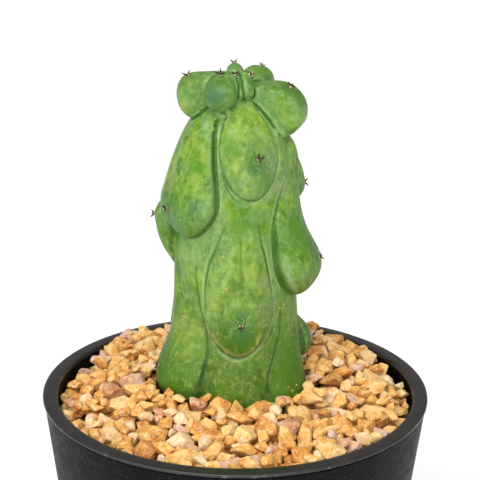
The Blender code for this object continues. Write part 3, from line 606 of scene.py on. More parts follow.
def cut_creases_finer(mesh, reach):
    """Halves the faces along the creases and grooves."""
    away, strength, groove = crease_distance(places(mesh))
    near = (away < reach) & (strength > CREASE_SEEN)
    near |= groove > GROOVE_SEEN * math.exp(-(reach / GROOVE_WIDTH) ** 2)
    with edited(mesh) as made:
        edges = [edge for edge in made.edges if near[edge.verts[0].index] and near[edge.verts[1].index]]
        bmesh.ops.subdivide_edges(made, edges=edges, cuts=1, use_grid_fill=True)


def make_skin():
    """The plant's skin: the cage, remeshed and moved to the field's zero, then cut finer in the creases."""
    skin = skin_cage()
    for size, rounds in zip(SKIN_SIZES, SKIN_ROUNDS):
        remesh = skin.modifiers.new("even", "REMESH")
        remesh.mode = "VOXEL"
        remesh.voxel_size = size * MM
        apply_modifiers(skin)
        points = places(skin.data)
        loose = points[:, 2] > SKIN_FLOOR + 1.0
        points[loose] = onto_skin(points[loose], rounds)
        points[loose] = evened(skin.data, points)[loose]
        points[loose] = onto_skin(points[loose], SETTLE_ROUNDS)
        put(skin.data, points)
    for reach in CREASE_REACHES:
        cut_creases_finer(skin.data, reach)
        points = places(skin.data)
        loose = points[:, 2] > SKIN_FLOOR + 1.0
        points[loose] = onto_skin(points[loose], SETTLE_ROUNDS)
        put(skin.data, points)
    return smooth(skin)


def carve(mesh):
    """Presses the creases and grooves in; gives the distance to a crease, its strength, the grooves."""
    points = places(mesh)
    away, strength, groove = crease_distance(points)
    normals = np.empty(points.size)
    mesh.vertices.foreach_get("normal", normals)
    depth = CREASE_DEPTH * strength * np.exp(-(away / CREASE_WIDTH) ** 2) + groove
    put(mesh, points - normals.reshape(-1, 3) * depth[:, None])
    return away, strength, groove


skin = make_skin()
print("cactus_skin:", len(skin.data.polygons), "faces")

# %% [markdown]
# ## What the skin's colour needs to know
#
# Numbers are kept at each point of the skin: how near a crease it is, for the painted shade in it, how near
# the hollow beside a crease, how near the painted highlight along it, how far inside a lobe, how near an
# areole, and how near the corky line under the lower front lobe.  Six more mark patches: yellow, blue-green,
# dusty, cracked, a lighter green that is partly pale haze and partly painted light, and deep green.

# %%
CORK_LINE = [(-110, 19.4), (-104, 16.8), (-96, 14.5), (-88, 13.5), (-80, 14.1), (-74, 16.2), (-70, 18.6)]
CORK_RADIUS = 18.0
CORK_WIDTH = 0.4
LOBE_REACH = 30                           # no lobe reaches further than this from its middle height
GROOVE_SHADE = 0.5                        # a groove this deep is fully dark
SHADE_LINE_WIDTH = 0.3                         # the dark line in a crease
HOLLOW_REACH = 1.6
# painted highlight: a pale line that runs along each crease, just beside it
HIGHLIGHT_AWAY = 0.7                            # the pale rim runs this far from the crease
HIGHLIGHT_WIDTH = 0.28
TIP_REACH = 5.0                           # the darker skin round an areole
SEARCH_RADIUS = 20                        # places on the skin are searched for from this far out
SEARCH_ROUNDS = 20
AREOLE_ROUNDS = 24
PATCHES = {                               # azimuth, height and reach
    "yellow": [(-80, 58, 2.2), (-26, 83, 2.6), (-28, 78, 2.4), (-162, 80, 2.0), (-159, 77, 2.0),
               (-121, 68, 3.0), (-124, 62, 2.4), (-125, 56, 2.0), (-99, 33, 2.4), (-84, 25, 2.6),
               (-108, 29, 2.2), (-141, 22, 2.6), (-148, 13, 2.2), (-36, 37, 2.2), (-95, 66, 2.6),
               (60, 60, 3.0), (120, 40, 3.0), (150, 20, 2.6)],
    "blue": [(-123, 54, 2.4), (-146, 50, 3.0), (-118, 84, 3.6), (-85, 25, 2.2), (-86, 20, 2.6),
             (-72, 65, 2.4), (-160, 9, 3.0), (-18, 40, 3.0), (100, 58, 3.0), (170, 45, 3.0)],
    "dusty": [(-57, 69, 2.6), (-52, 64, 3.2), (-46, 59, 3.0), (-64, 27, 2.2), (-62, 34, 2.2), (20, 30, 3.0)],
    "web": [(-143, 50.5, 3.4), (-86, 23, 2.6), (-16, 38, 3.0), (-60, 67, 2.4)],
    # lighter green on the lobes in front: partly pale haze, partly painted light
    "light": [(-74, 71, 7), (-80, 63, 5), (-90, 38, 6), (-86, 30, 6), (-134, 20, 5.5)],
    "deep": [(-142, 50, 6.5), (-150, 3, 7), (-28, 46, 7), (-86, 17, 3.5), (-38, 8, 7), (-18, 84, 3.0),
             (-100, 72, 2.6), (-60, 60, 3.0), (-118, 83, 3.5), (-84, 51, 4), (-165, 44, 5), (-126, 66, 3),
             (80, 50, 8), (150, 30, 8)],
}


def near_line(points, line, width):
    """1 on a line of (azimuth, height) on the front skin, fading over the width."""
    flat = through(line, False)
    middle = flat[:, 0].mean()
    flat = laid_flat(flat, middle, CORK_RADIUS)
    across = across_at(azimuth_of(points), middle, CORK_RADIUS)
    return np.exp(-(line_distance(across, points[:, 2], flat, False) / width) ** 2)


def inside_lobes(points):
    """How far inside its lobe each point lies: 0 at the outline, 1 in the middle."""
    azimuth = azimuth_of(points)
    heart = np.zeros(len(points))
    for line, middle, radius, half in FLAT_LOBES.values():
        across = across_at(azimuth, middle, radius)
        level = np.abs(points[:, 2] - line[:, 1].mean()) < LOBE_REACH
        near = np.flatnonzero((np.abs(across) < half) & level)
        depth = line_distance(across[near], points[near, 2], line)
        heart[near] = np.maximum(heart[near], np.clip(depth / half, 0, 1))
    return heart


def near_spots(points, spots):
    """1 at each spot of (azimuth, height, reach) on the skin, fading over its reach."""
    starts = np.array([polar(azimuth, SEARCH_RADIUS, height) for azimuth, height, _ in spots])
    starts = onto_skin(starts, SEARCH_ROUNDS)
    near = np.zeros(len(points))
    for start, (_, _, reach) in zip(starts, spots):
        near = np.maximum(near, np.exp(-((points - start) ** 2).sum(1) / reach ** 2))
    return near


def keep(mesh, name, values):
    """Stores a number for each point of a mesh."""
    layer = mesh.attributes.new(name, "FLOAT", "POINT")
    layer.data.foreach_set("value", values.astype(np.float32))


away, strength, groove = carve(skin.data)
skin_points = places(skin.data)
areole_starts = np.array([polar(azimuth, radius, height) for azimuth, radius, height, _ in AREOLES])
areole_spots = onto_skin(areole_starts, AREOLE_ROUNDS)
tip_distance = np.min([np.linalg.norm(skin_points - spot, axis=1) for spot in areole_spots], axis=0)
# painted shade: the skin is darkened along a thin line in each crease and groove
crease = np.maximum(strength * np.exp(-(away / SHADE_LINE_WIDTH) ** 2), groove / GROOVE_SHADE)
keep(skin.data, "crease", np.clip(crease, 0, 1))
keep(skin.data, "hollow", np.clip(strength * np.exp(-(away / HOLLOW_REACH) ** 2) + groove, 0, 1))
# painted highlight along each crease
keep(skin.data, "rim", strength * np.exp(-((away - HIGHLIGHT_AWAY) / HIGHLIGHT_WIDTH) ** 2))
keep(skin.data, "heart", inside_lobes(skin_points))
keep(skin.data, "tip", np.exp(-(tip_distance / TIP_REACH) ** 2))
keep(skin.data, "cork", near_line(skin_points, CORK_LINE, CORK_WIDTH))
for name, spots in PATCHES.items():
    keep(skin.data, name, near_spots(skin_points, spots))
skin.data.transform(Matrix.Translation((0, 0, RIM_HEIGHT * MM)))
print("skin attributes:", [layer.name for layer in skin.data.attributes if layer.data_type == "FLOAT"])

# %% [markdown]
# ## Finishes
#
# Every finish is a graph of nodes.  A table gives each kind of node that is used here a short name, with
# the inputs it is given, its output and its fixed settings.  One function then adds any of them.

# %%
KINDS = {                                 # node, inputs in the order they are given, output, settings
    "place": ("ShaderNodeTexCoord", (), "Object", {}),
    "height": ("ShaderNodeSeparateXYZ", (0,), "Z", {}),
    "stretched": ("ShaderNodeMapping", ("Vector", "Scale"), "Vector", {}),
    "noise": ("ShaderNodeTexNoise", ("Vector", "Scale", "Detail", "Roughness", "Distortion"), "Fac", {}),
    "band": ("ShaderNodeMapRange", ("Value", "From Min", "From Max", "To Min", "To Max"), "Result",
             {"interpolation_type": "SMOOTHSTEP"}),
    "kept": ("ShaderNodeAttribute", (), "Fac", {}),
    "maths": ("ShaderNodeMath", (0, 1), 0, {}),
    "times": ("ShaderNodeMath", (0, 1), 0, {"operation": "MULTIPLY"}),
    "plus": ("ShaderNodeMath", (0, 1), 0, {"operation": "ADD"}),
    "minus": ("ShaderNodeMath", (0, 1), 0, {"operation": "SUBTRACT"}),
    "blend": ("ShaderNodeMix", (0, 6, 7), 2, {"data_type": "RGBA"}),
    "bump": ("ShaderNodeBump", ("Height", "Distance", "Strength", "Normal"), "Normal", {}),
}


def add(tree, kind, *inputs, **settings):
    """Adds a node to a tree, sets its properties, sets or links its inputs, and gives its output."""
    node, sockets, output, fixed = KINDS[kind]
    made = tree.nodes.new(node)
    for name, value in {**fixed, **settings}.items():
        setattr(made, name, value)
    for socket, value in zip(sockets, inputs):
        if isinstance(value, bpy.types.NodeSocket):
            tree.links.new(value, made.inputs[socket])
        else:
            made.inputs[socket].default_value = value
    return made.outputs[output]


def colour(text):
    """A hex sRGB colour as linear RGBA."""
    channels = [int(text[i:i + 2], 16) / 255 for i in (1, 3, 5)]
    return tuple(c / 12.92 if c <= 0.04045 else ((c + 0.055) / 1.055) ** 2.4 for c in channels) + (1.0,)


def per(size):
    """The scale of a noise whose grain is about this many millimetres."""
    return 1 / (size * MM)


def new_material(name, shader_settings):
    """A material, its function that adds nodes, and its shader with the constant sockets set."""
    made = bpy.data.materials.new(name)
    made.use_nodes = True
    shader = made.node_tree.nodes["Principled BSDF"]
    for socket, value in shader_settings.items():
        shader.inputs[socket].default_value = value
    return made, partial(add, made.node_tree), shader


def paint(thing, material):
    """Gives an object this material and no other."""
    thing.data.materials.clear()
    thing.data.materials.append(material)
    return thing


def finish_with(shader, **sockets):
    """Links outputs to the shader's sockets; an underscore in a name stands for a space."""
    for name, output in sockets.items():
        shader.id_data.links.new(output, shader.inputs[name.replace("_", " ")])


print(len(KINDS), "kinds of node")

# %% [markdown]
# ### Living cactus skin
#
# Vivid green towards the middle of each lobe, streaked and blotched with yellow-green, and clouded
# with a grey-green bloom of wax towards its edges.  A lighter green on the lobes in front is partly pale
# haze and partly painted light.  It is deeper near the foot, which is painted shade, darker round each
# areole, and darker in the creases and in the crown's hollows, which is painted shade too; a painted
# highlight runs along each crease, and it has fine pale specks and upright scratches.  A little
# sheen gives the waxy pale edge, and the flesh lets some light through.

# %%
def cactus_skin_material():
    """Waxy cactus skin."""
    made, node, shader = new_material("waxy_cactus_skin", {
        "Sheen Weight": 0.04, "Sheen Roughness": 0.3, "Sheen Tint": colour("#E2EED6"),
        "Subsurface Weight": 0.08, "Subsurface Scale": 1.2 * MM, "Subsurface Radius": (0.6, 1.0, 0.2),
        "Specular IOR Level": 0.24})
    place = node("place")
    height = node("height", place)
    streaky = node("stretched", place, (1.0, 1.0, 0.35))
    clouds = node("noise", place, per(9), 4, 0.6, 0.8)
    streaks = node("noise", streaky, per(3.2), 5, 0.65, 0.8)
    patches = node("noise", streaky, per(6.5), 4, 0.62, 1.2)
    wax = node("noise", place, per(5.5), 5, 0.66, 0.8)
    frost = node("noise", streaky, per(7.5), 5, 0.62, 1.5)
    cracks = node("minus", node("noise", place, per(1.5), 3, 0.6, 1.0), 0.5)
    cracks = node("maths", cracks, operation="ABSOLUTE")
    mottle = node("noise", place, per(1.7), 5, 0.68)
    specks = node("noise", place, per(0.4), 2, 0.5)
    scratches = node("noise", node("stretched", place, (1.0, 1.0, 0.12)), per(0.8), 3, 0.6)
    crease, hollow, heart, tip, cork, rim, yellow, light, deep, blue, dusty, web = (
        node("kept", attribute_name=name) for name in (
            "crease", "hollow", "heart", "tip", "cork", "rim",
            "yellow", "light", "deep", "blue", "dusty", "web"))
    # painted shade: the skin is made darker towards the foot
    shaded_foot = node("band", height, (RIM_HEIGHT + 40) * MM, (RIM_HEIGHT + 2) * MM)
    crown = node("band", height, (RIM_HEIGHT + 70) * MM, (RIM_HEIGHT + 77) * MM)
    waxy = node("band", height, (RIM_HEIGHT + 10) * MM, (RIM_HEIGHT + 62) * MM, 0.5, 0.95)

    yellow = node("plus", patches, node("times", yellow, 0.12))
    edge = node("minus", wax, node("times", heart, 0.18))
    bloom = node("times", node("band", edge, 0.4, 0.52, 0, 0.85), waxy)
    hazy = node("times", hollow, node("band", crown, 0, 1, 0.35, 0))
    deep = node("times", deep, node("band", streaks, 0.35, 0.6, 0.55, 0.92))
    pale = node("times", node("band", mottle, 0.5, 0.64, 0, 0.34), node("band", deep, 0, 0.7, 1, 0.15))
    # colour of the painted shade in the creases: dark green above, blue-green towards the foot
    line = node("blend", shaded_foot, colour("#2C5F12"), colour("#31563F"))
    # how much of each colour lies over what is below it, from the flesh outwards
    layers = [
        (node("band", streaks, 0.48, 0.64, 0, 0.85), colour("#829C2A")),
        (node("band", yellow, 0.56, 0.74, 0, 0.75), colour("#A2A948")),
        # painted light on the front lobes, together with their pale haze
        (node("times", light, node("band", clouds, 0.35, 0.6, 0.2, 0.65)), colour("#96B050")),
        (node("maths", bloom, hazy, operation="MAXIMUM"), colour("#6D914E")),
        (node("times", node("band", frost, 0.52, 0.64, 0, 0.6), waxy), colour("#88A468")),
        # painted shade: darker green in the hollows of the crown
        (node("times", hollow, node("band", crown, 0, 1, 0, 0.6)), colour("#3F7214")),
        (deep, colour("#477C0E")),
        (node("times", blue, node("band", wax, 0.35, 0.6, 0.55, 0.95)), colour("#3C6648")),
        (node("times", dusty, 0.6), colour("#788463")),
        # painted shade towards the foot
        (node("times", shaded_foot, 0.55), colour("#42620A")),
        (node("times", tip, node("band", streaks, 0.4, 0.6, 0.5, 0.95)), colour("#36651C")),
        (pale, colour("#9DB063")),
        (node("band", mottle, 0.5, 0.36, 0, 0.36), colour("#3D6A18")),
        (node("band", scratches, 0.6, 0.7, 0, 0.25), colour("#A5B878")),
        # painted highlight along the creases
        (node("times", rim, node("band", streaks, 0.35, 0.6, 0.2, 0.6)), colour("#A3BE86")),
        # painted shade along the creases, stronger in the crown
        (node("times", crease, node("band", crown, 0, 1, 0.72, 0.9)), line),
        (node("times", web, node("band", cracks, 0.022, 0.004, 0, 0.6)), colour("#BFCBA0")),
        (node("times", cork, node("band", mottle, 0.35, 0.6, 0.1, 0.8)), colour("#B8A566")),
        (node("band", specks, 0.66, 0.76, 0, 0.3), colour("#B9C68A")),
    ]
    base = node("blend", node("band", clouds, 0.4, 0.6), colour("#3C6406"), colour("#628A1C"))
    for amount, tone in layers:
        base = node("blend", amount, base, tone)
    rough = node("band", mottle, 0.3, 0.7, 0.4, 0.56)
    small = node("plus", node("times", mottle, 0.6), node("times", specks, 0.4))
    normal = node("bump", small, 0.2 * MM, 0.6)
    finish_with(shader, Base_Color=base, Roughness=rough, Normal=normal)
    return made


paint(skin, cactus_skin_material())
print("finish:", skin.data.materials[0].name)

# %% [markdown]
# ## Areoles and spines
#
# Each lobe ends in a felt pad with short dark spines, at the places and in the directions that the
# CAD has.

# %%
SPINE_LENGTH = 2.0
SPINE_SPREAD = (0.8, 1.3)                 # shortest and longest, as shares of that length
SPINE_LEAN = (38, 62)                     # degrees from upright
SPINE_BEND = 0.12
SPINE_RADIUS = 0.36
SPINE_TIP = 0.02
SPINE_TAPER = 0.7
SPINE_UNEVEN = 0.2                        # of the even turn from one spine to the next
SPINE_SEED = 5
SPINE_ROOT = 0.5                          # how deep it starts in the skin
SPINE_RINGS = 5
SPINE_SIDES = 7


def turned_to(way):
    """The turn that brings Z to this way."""
    return Vector(way).to_track_quat("Z", "Y").to_matrix()


def join_rings(made, rings):
    """Faces between each ring of corners and the next."""
    for low, high in zip(rings, rings[1:]):
        for j in range(len(low)):
            k = (j + 1) % len(low)
            made.faces.new((low[j], low[k], high[k], high[j]))


def add_spine(made, start, way, length, bend):
    """A curved cone that tapers from below the skin to its tip."""
    facing = turned_to(way)
    rings = []
    for i in range(SPINE_RINGS + 1):
        t = i / SPINE_RINGS
        radius = SPINE_RADIUS * (1 - t) ** SPINE_TAPER + SPINE_TIP
        centre = Vector(start) + facing @ Vector((bend * t * t, 0, length * t))
        ring = []
        for j in range(SPINE_SIDES):
            turn = 2 * math.pi * j / SPINE_SIDES
            corner = facing @ Vector((radius * math.cos(turn), radius * math.sin(turn), 0))
            ring.append(made.verts.new((centre + corner) * MM))
        rings.append(ring)
    join_rings(made, rings)
    made.faces.new(rings[-1])
    made.faces.new(list(reversed(rings[0])))


def make_spines(spots, slopes):
    """All the spines in one mesh."""
    draw = random.Random(SPINE_SEED)
    made = bmesh.new()
    for point, slope, (_, _, _, count) in zip(spots, slopes, AREOLES):
        facing = turned_to(slope / np.linalg.norm(slope))
        for i in range(count):
            turn = 2 * math.pi * (i + draw.uniform(-SPINE_UNEVEN, SPINE_UNEVEN)) / count
            lean = math.radians(draw.uniform(*SPINE_LEAN))
            side = Vector((math.cos(turn), math.sin(turn), 0)) * math.sin(lean)
            way = np.array(facing @ (side + Vector((0, 0, math.cos(lean)))))
            length = SPINE_LENGTH * draw.uniform(*SPINE_SPREAD)
            start = point - way * SPINE_ROOT + (0, 0, RIM_HEIGHT)
            add_spine(made, start, way, length, SPINE_BEND * length)
    return smooth(built("spines", made))


_, areole_slopes = plant_slope(areole_spots)
spines = make_spines(areole_spots, areole_slopes)
print("spines:", len(spines.data.polygons), "faces")

# %% [markdown]
# Each felt pad is a squashed ball.  Geometry Nodes then scatter short fibres over the pads, so that
# their edge is woolly.

# %%
PAD_RADIUS = 0.6
PAD_SQUASH = (1.0, 0.9, 0.5, 1.0)
FIBRE_RINGS = ((0.0, 0.04, 0.0), (0.25, 0.035, 0.08), (0.5, 0.01, 0.25))    # height, radius, lean
FIBRE_SIDES = 3


def standing(point, slope, squash):
    """Stands a squashed form on the skin, its Z outwards."""
    facing = turned_to(slope).to_4x4()
    return Matrix.Translation((point + (0, 0, RIM_HEIGHT)) * MM) @ facing @ Matrix.Diagonal(squash)


def make_pads(spots, slopes):
    """The felt pads' cores in one mesh."""
    made = bmesh.new()
    for point, slope in zip(spots, slopes):
        at = standing(point, slope, PAD_SQUASH)
        bmesh.ops.create_icosphere(made, subdivisions=3, radius=PAD_RADIUS * MM, matrix=at)
    return smooth(built("areole_pads", made))


def fibre_object():
    """One wool fibre: a thin bent three-sided blade, standing on the origin along +Z."""
    made = bmesh.new()
    rings = []
    for height, radius, lean in FIBRE_RINGS:
        ring = []
        for turn in (2 * math.pi * j / FIBRE_SIDES for j in range(FIBRE_SIDES)):
            corner = (lean + radius * math.cos(turn), radius * math.sin(turn), height)
            ring.append(made.verts.new(Vector(corner) * MM))
        rings.append(ring)
    join_rings(made, rings)
    return built("fibre", made)


def node_group(name, inputs):
    """An empty geometry tree with a geometry in and out, and the named inputs as (name, kind, default)."""
    tree = bpy.data.node_groups.new(name, "GeometryNodeTree")
    tree.interface.new_socket("Geometry", in_out="INPUT", socket_type="NodeSocketGeometry")
    tree.interface.new_socket("Geometry", in_out="OUTPUT", socket_type="NodeSocketGeometry")
    for label, kind, default in inputs:
        socket = tree.interface.new_socket(label, in_out="INPUT", socket_type=kind)
        if default is not None:
            socket.default_value = default
    return tree, tree.nodes.new("NodeGroupInput"), tree.nodes.new("NodeGroupOutput")


def grow(thing, tree, values):
    """Runs a geometry tree on an object with these inputs and keeps the plain mesh."""
    modifier = thing.modifiers.new(tree.name, "NODES")
    modifier.node_group = tree
    for item in tree.interface.items_tree:
        if item.in_out == "INPUT" and item.name in values:
            modifier[item.identifier] = values[item.name]
    return apply_modifiers(thing)


KINDS.update({
    "scatter": ("GeometryNodeDistributePointsOnFaces", ("Mesh", "Density", "Seed"), "Points", {}),
    "random_lean": ("FunctionNodeRandomValue", (0, 1, "Seed"), 0, {"data_type": "FLOAT_VECTOR"}),
    "random_size": ("FunctionNodeRandomValue", (2, 3, "Seed"), 1, {"data_type": "FLOAT"}),
    "rotation": ("FunctionNodeEulerToRotation", (0,), 0, {}),
    "turned": ("FunctionNodeRotateRotation", ("Rotation", "Rotate By"), 0, {"rotation_space": "LOCAL"}),
    "object": ("GeometryNodeObjectInfo", ("Object",), "Geometry", {}),
    "instances": ("GeometryNodeInstanceOnPoints", (
        "Points", "Instance", "Rotation", "Scale", "Pick Instance", "Instance Index"), 0, {}),
    "joined": ("GeometryNodeJoinGeometry", (0,), 0, {}),
    "realized": ("GeometryNodeRealizeInstances", (0,), 0, {}),
    "painted": ("GeometryNodeSetMaterial", ("Geometry", "Material"), 0, {}),
})
FIBRE_LEAN = (0.7, 0.7, 6.28)
FIBRE_SIZES = (0.45, 1.0)


def wool_tree():
    """Scatters fibres over a surface, upright on it and turned at random."""
    tree, given, out = node_group("wool", [
        ("Density", "NodeSocketFloat", 30.0), ("Seed", "NodeSocketInt", 3),
        ("Fibre", "NodeSocketObject", None), ("Finish", "NodeSocketMaterial", None)])
    node = partial(add, tree)
    surface, seed = given.outputs["Geometry"], given.outputs["Seed"]
    spots = node("scatter", surface, given.outputs["Density"], seed)
    lean = node("random_lean", (-FIBRE_LEAN[0], -FIBRE_LEAN[1], 0.0), FIBRE_LEAN, seed)
    turn = node("turned", spots.node.outputs["Rotation"], node("rotation", lean))
    size = node("random_size", *FIBRE_SIZES, seed)
    joined = node("joined", node("instances", spots, node("object", given.outputs["Fibre"]), turn, size))
    tree.links.new(surface, joined.node.inputs[0])
    tree.links.new(node("painted", node("realized", joined), given.outputs["Finish"]), out.inputs[0])
    return tree


def wool_material():
    """Areole felt: cream-tan wool with a pinkish cast."""
    made, node, shader = new_material("areole_felt", {
        "Roughness": 0.95, "Sheen Weight": 0.5, "Sheen Roughness": 0.5, "Sheen Tint": colour("#FFF2E0"),
        "Specular IOR Level": 0.2})
    place = node("place")
    tone = node("blend", node("noise", place, per(0.6), 3, 0.55), colour("#B48D6A"), colour("#E6D2AE"))
    lint = node("bump", node("noise", place, per(0.15), 2, 0.55), 0.1 * MM)
    finish_with(shader, Base_Color=tone, Normal=lint)
    return made


def spine_material():
    """Young spines: hard, nearly black, dark brown in places."""
    made, node, shader = new_material("dark_spine", {"Specular IOR Level": 0.4})
    place = node("place")
    brown = node("band", node("noise", place, per(0.9), 2, 0.55), 0.35, 0.65)
    tone = node("blend", brown, colour("#0C0807"), colour("#2A1410"))
    rough = node("band", node("noise", place, per(0.3), 3, 0.55), 0.3, 0.7, 0.4, 0.6)
    finish_with(shader, Base_Color=tone, Roughness=rough)
    return made


FIBRES_PER_M2 = 26e6
FIBRE_SEED = 3
pads = make_pads(areole_spots, areole_slopes)
fibre = fibre_object()
grow(pads, wool_tree(), {
    "Density": FIBRES_PER_M2, "Seed": FIBRE_SEED, "Fibre": fibre, "Finish": wool_material()})
bpy.data.objects.remove(fibre, do_unlink=True)
paint(spines, spine_material())
print("areole_pads:", len(pads.data.polygons), "faces")

# %% [markdown]
# ## Corky spots
#
# A few small tan dots lie on the skin.

# %%
# azimuth, height, radius
CORK_SPOTS = [(-35, 2.2, 0.42), (-40, 1.2, 0.4), (-43, 2.6, 0.3), (-51, 27.0, 0.38), (-41, 25.9, 0.36),
              (-47, 25.2, 0.34), (-104, 41.3, 0.3), (-99, 32.6, 0.3), (-141, 22.0, 0.4), (-143, 21.0, 0.25),
              (-137, 43.0, 0.22), (60, 34.0, 0.4), (66, 33.0, 0.3), (120, 22.0, 0.35), (20, 38.0, 0.3)]
CORK_SEED = 8
CORK_SEARCH = 19
CORK_ROUND = (0.6, 1.0)                   # how round a dot is
CORK_HEIGHT = 0.35                        # share of its radius that a dot stands out
CORK_UNEVEN = 0.06


def make_cork(spots):
    """Flat uneven dots of cork."""
    draw = random.Random(CORK_SEED)
    starts = np.array([polar(azimuth, CORK_SEARCH, height) for azimuth, height, _ in spots])
    on_skin = onto_skin(starts, SEARCH_ROUNDS)
    _, slopes = plant_slope(on_skin)
    made = bmesh.new()
    for point, slope, (_, _, radius) in zip(on_skin, slopes, spots):
        at = standing(point, slope, (1.0, draw.uniform(*CORK_ROUND), CORK_HEIGHT, 1.0))
        ball = bmesh.ops.create_icosphere(made, subdivisions=2, radius=radius * MM, matrix=at)
        for corner in ball["verts"]:
            corner.co += Vector([draw.uniform(-CORK_UNEVEN, CORK_UNEVEN) * MM for _ in range(3)])
    return smooth(built("cork_spots", made))


def cork_material():
    """Dry cork: tan, a little paler in places."""
    made, node, shader = new_material("dry_cork", {"Roughness": 0.85, "Specular IOR Level": 0.2})
    place = node("place")
    tone = node("blend", node("noise", place, per(0.3), 3, 0.55), colour("#A9824A"), colour("#DDC58E"))
    crust = node("bump", node("noise", place, per(0.12), 2, 0.55), 0.05 * MM)
    finish_with(shader, Base_Color=tone, Normal=crust)
    return made


cork = paint(make_cork(CORK_SPOTS), cork_material())
print("cork_spots:", len(CORK_SPOTS), "spots")

# %% [markdown]
# ## The pot
#
# Turned in one piece: a flat thin lip with rounded edges over the grained wall, a foot ring,
# and a raised floor with drain holes.

# %%
def wall_radius(height):
    """Outer radius of the pot's wall at a height above the ground."""
    return FOOT_RADIUS + (WALL_TOP_RADIUS - FOOT_RADIUS) * height / (RIM_HEIGHT - LIP_DEPTH)


def arc(centre, radius, start, end, count):
    """Points of a round corner, in degrees, as (radius, height)."""
    turns = [math.radians(start + (end - start) * i / count) for i in range(count + 1)]
    return [(centre[0] + radius * math.cos(t), centre[1] + radius * math.sin(t)) for t in turns]


LIP_EDGE_TOP, LIP_EDGE_UNDER = 0.42, 0.18    # rounding of the lip's outer edge, above and below
LIP_EDGE_INSIDE = 0.5
FOOT_EDGE = 1.0
WALL_LEVELS = (70, 50, 30, 12)
KNEE_LEVELS = range(10, 90)               # the inner wall steps in to the lip at one of these
POT_STEPS = 256
DRAIN_CUT = 20.0                          # length of the cylinders that cut the holes


def pot_profile():
    """Outer side from the lip's crown down to the foot ring, then the inner side back up."""
    top, lip = RIM_HEIGHT, RIM_RADIUS - RIM_BAND
    under = top - LIP_DEPTH
    floor_top = FLOOR_HEIGHT + FLOOR_THICKNESS
    foot_inner = FOOT_RADIUS - FOOT_RING_WIDTH
    profile = [(lip + 1.4, top), (RIM_RADIUS - 1.5, top - 0.12)]
    profile += arc((RIM_RADIUS - 0.45, top - 0.6), LIP_EDGE_TOP, 80, 0, 6)
    corner = (RIM_RADIUS - LIP_EDGE_UNDER, under + LIP_EDGE_UNDER)
    profile += arc(corner, LIP_EDGE_UNDER, 0, -90, 4)
    profile += [(wall_radius(under) - 0.35, under + 0.02), (wall_radius(under - 0.4) - 0.3, under - 0.3)]
    profile += [(wall_radius(under - 0.7), under - 0.6)]
    profile += [(wall_radius(h), h) for h in WALL_LEVELS]
    profile += arc((wall_radius(0) - 0.9, FOOT_EDGE), FOOT_EDGE, -7, -90, 6)
    profile += [(foot_inner + 0.3, 0), (foot_inner, 0.3), (foot_inner - 0.8, FLOOR_HEIGHT), (0, FLOOR_HEIGHT)]
    profile += [(0, floor_top), (wall_radius(floor_top) - WALL_THICKNESS - 2.0, floor_top)]
    profile += [(wall_radius(floor_top + 2) - WALL_THICKNESS, floor_top + 2)]
    knee = next(h for h in KNEE_LEVELS if wall_radius(h) - WALL_THICKNESS >= lip)
    profile += [(lip, knee), (lip, top - 1.2)] + arc((lip + 0.55, top - 0.55), LIP_EDGE_INSIDE, 180, 100, 5)
    return profile + [profile[0]]


def make_pot():
    """The pot, with a ring of drain holes in its floor."""
    pot = turned("pot_shell", pot_profile(), POT_STEPS)
    made = bmesh.new()
    for i in range(DRAIN_COUNT):
        turn = 2 * math.pi * (i + 0.5) / DRAIN_COUNT
        centre = (DRAIN_CIRCLE * math.cos(turn) * MM, DRAIN_CIRCLE * math.sin(turn) * MM, FLOOR_HEIGHT * MM)
        bmesh.ops.create_cone(made, cap_ends=True, segments=32, radius1=DRAIN_RADIUS * MM,
                              radius2=DRAIN_RADIUS * MM, depth=DRAIN_CUT * MM,
                              matrix=Matrix.Translation(centre))
    drains = built("drains", made)
    holes = pot.modifiers.new("drain holes", "BOOLEAN")
    holes.operation = "DIFFERENCE"
    holes.object = drains
    apply_modifiers(pot)
    bpy.data.objects.remove(drains, do_unlink=True)
    return smooth(pot)


def sharpened(thing, degrees):
    """Marks edges sharper than an angle, so that smooth shading stops there."""
    with edited(thing.data) as made:
        for edge in made.edges:
            edge.smooth = len(edge.link_faces) == 2 and edge.calc_face_angle() < math.radians(degrees)
    return thing


def pot_material():
    """Moulded black plastic: satin lip and inside, its edge pale in places from wear and painted highlight,
    and a fine-grained wall.
    """
    made, node, shader = new_material("moulded_black_plastic", {"IOR": 1.46})
    place = node("place")
    height = node("height", place)
    wall = node("band", height, (RIM_HEIGHT - LIP_DEPTH) * MM, (RIM_HEIGHT - LIP_DEPTH - 0.3) * MM)
    edge = node("band", height, (RIM_HEIGHT - 0.3) * MM, (RIM_HEIGHT - 0.6) * MM)
    # the lip's edge is pale in places: partly wear, partly a painted highlight
    wear_and_highlight = node("times", edge, node("band", node("noise", place, per(5), 3, 0.55), 0.56, 0.66, 0, 0.5))
    grain = node("noise", place, per(0.8), 3, 0.65)
    scuffs = node("noise", node("stretched", place, (1.0, 1.0, 3.0)), per(6), 4, 0.6)
    glints = node("band", node("noise", place, per(0.6), 2, 0.55), 0.58, 0.7, 0, 0.35)
    tone = node("blend", node("band", scuffs, 0.4, 0.7), colour("#1E1D1B"), colour("#2A2825"))
    tone = node("blend", wear_and_highlight, tone, colour("#8A867E"))
    tone = node("blend", wall, tone, colour("#060606"))
    tone = node("blend", node("times", glints, wall), tone, colour("#45423E"))
    rough = node("plus", node("band", scuffs, 0.3, 0.7, 0.24, 0.36), node("times", wall, 0.16))
    gloss = node("band", wall, 0, 1, 0.55, 0.1)
    normal = node("bump", node("times", grain, wall), 0.5 * MM, 0.9)
    finish_with(shader, Base_Color=tone, Roughness=rough, Specular_IOR_Level=gloss, Normal=normal)
    return made


SHARP = 35                                # degrees
pot = paint(sharpened(make_pot(), SHARP), pot_material())
print("pot_shell:", len(pot.data.polygons), "faces")

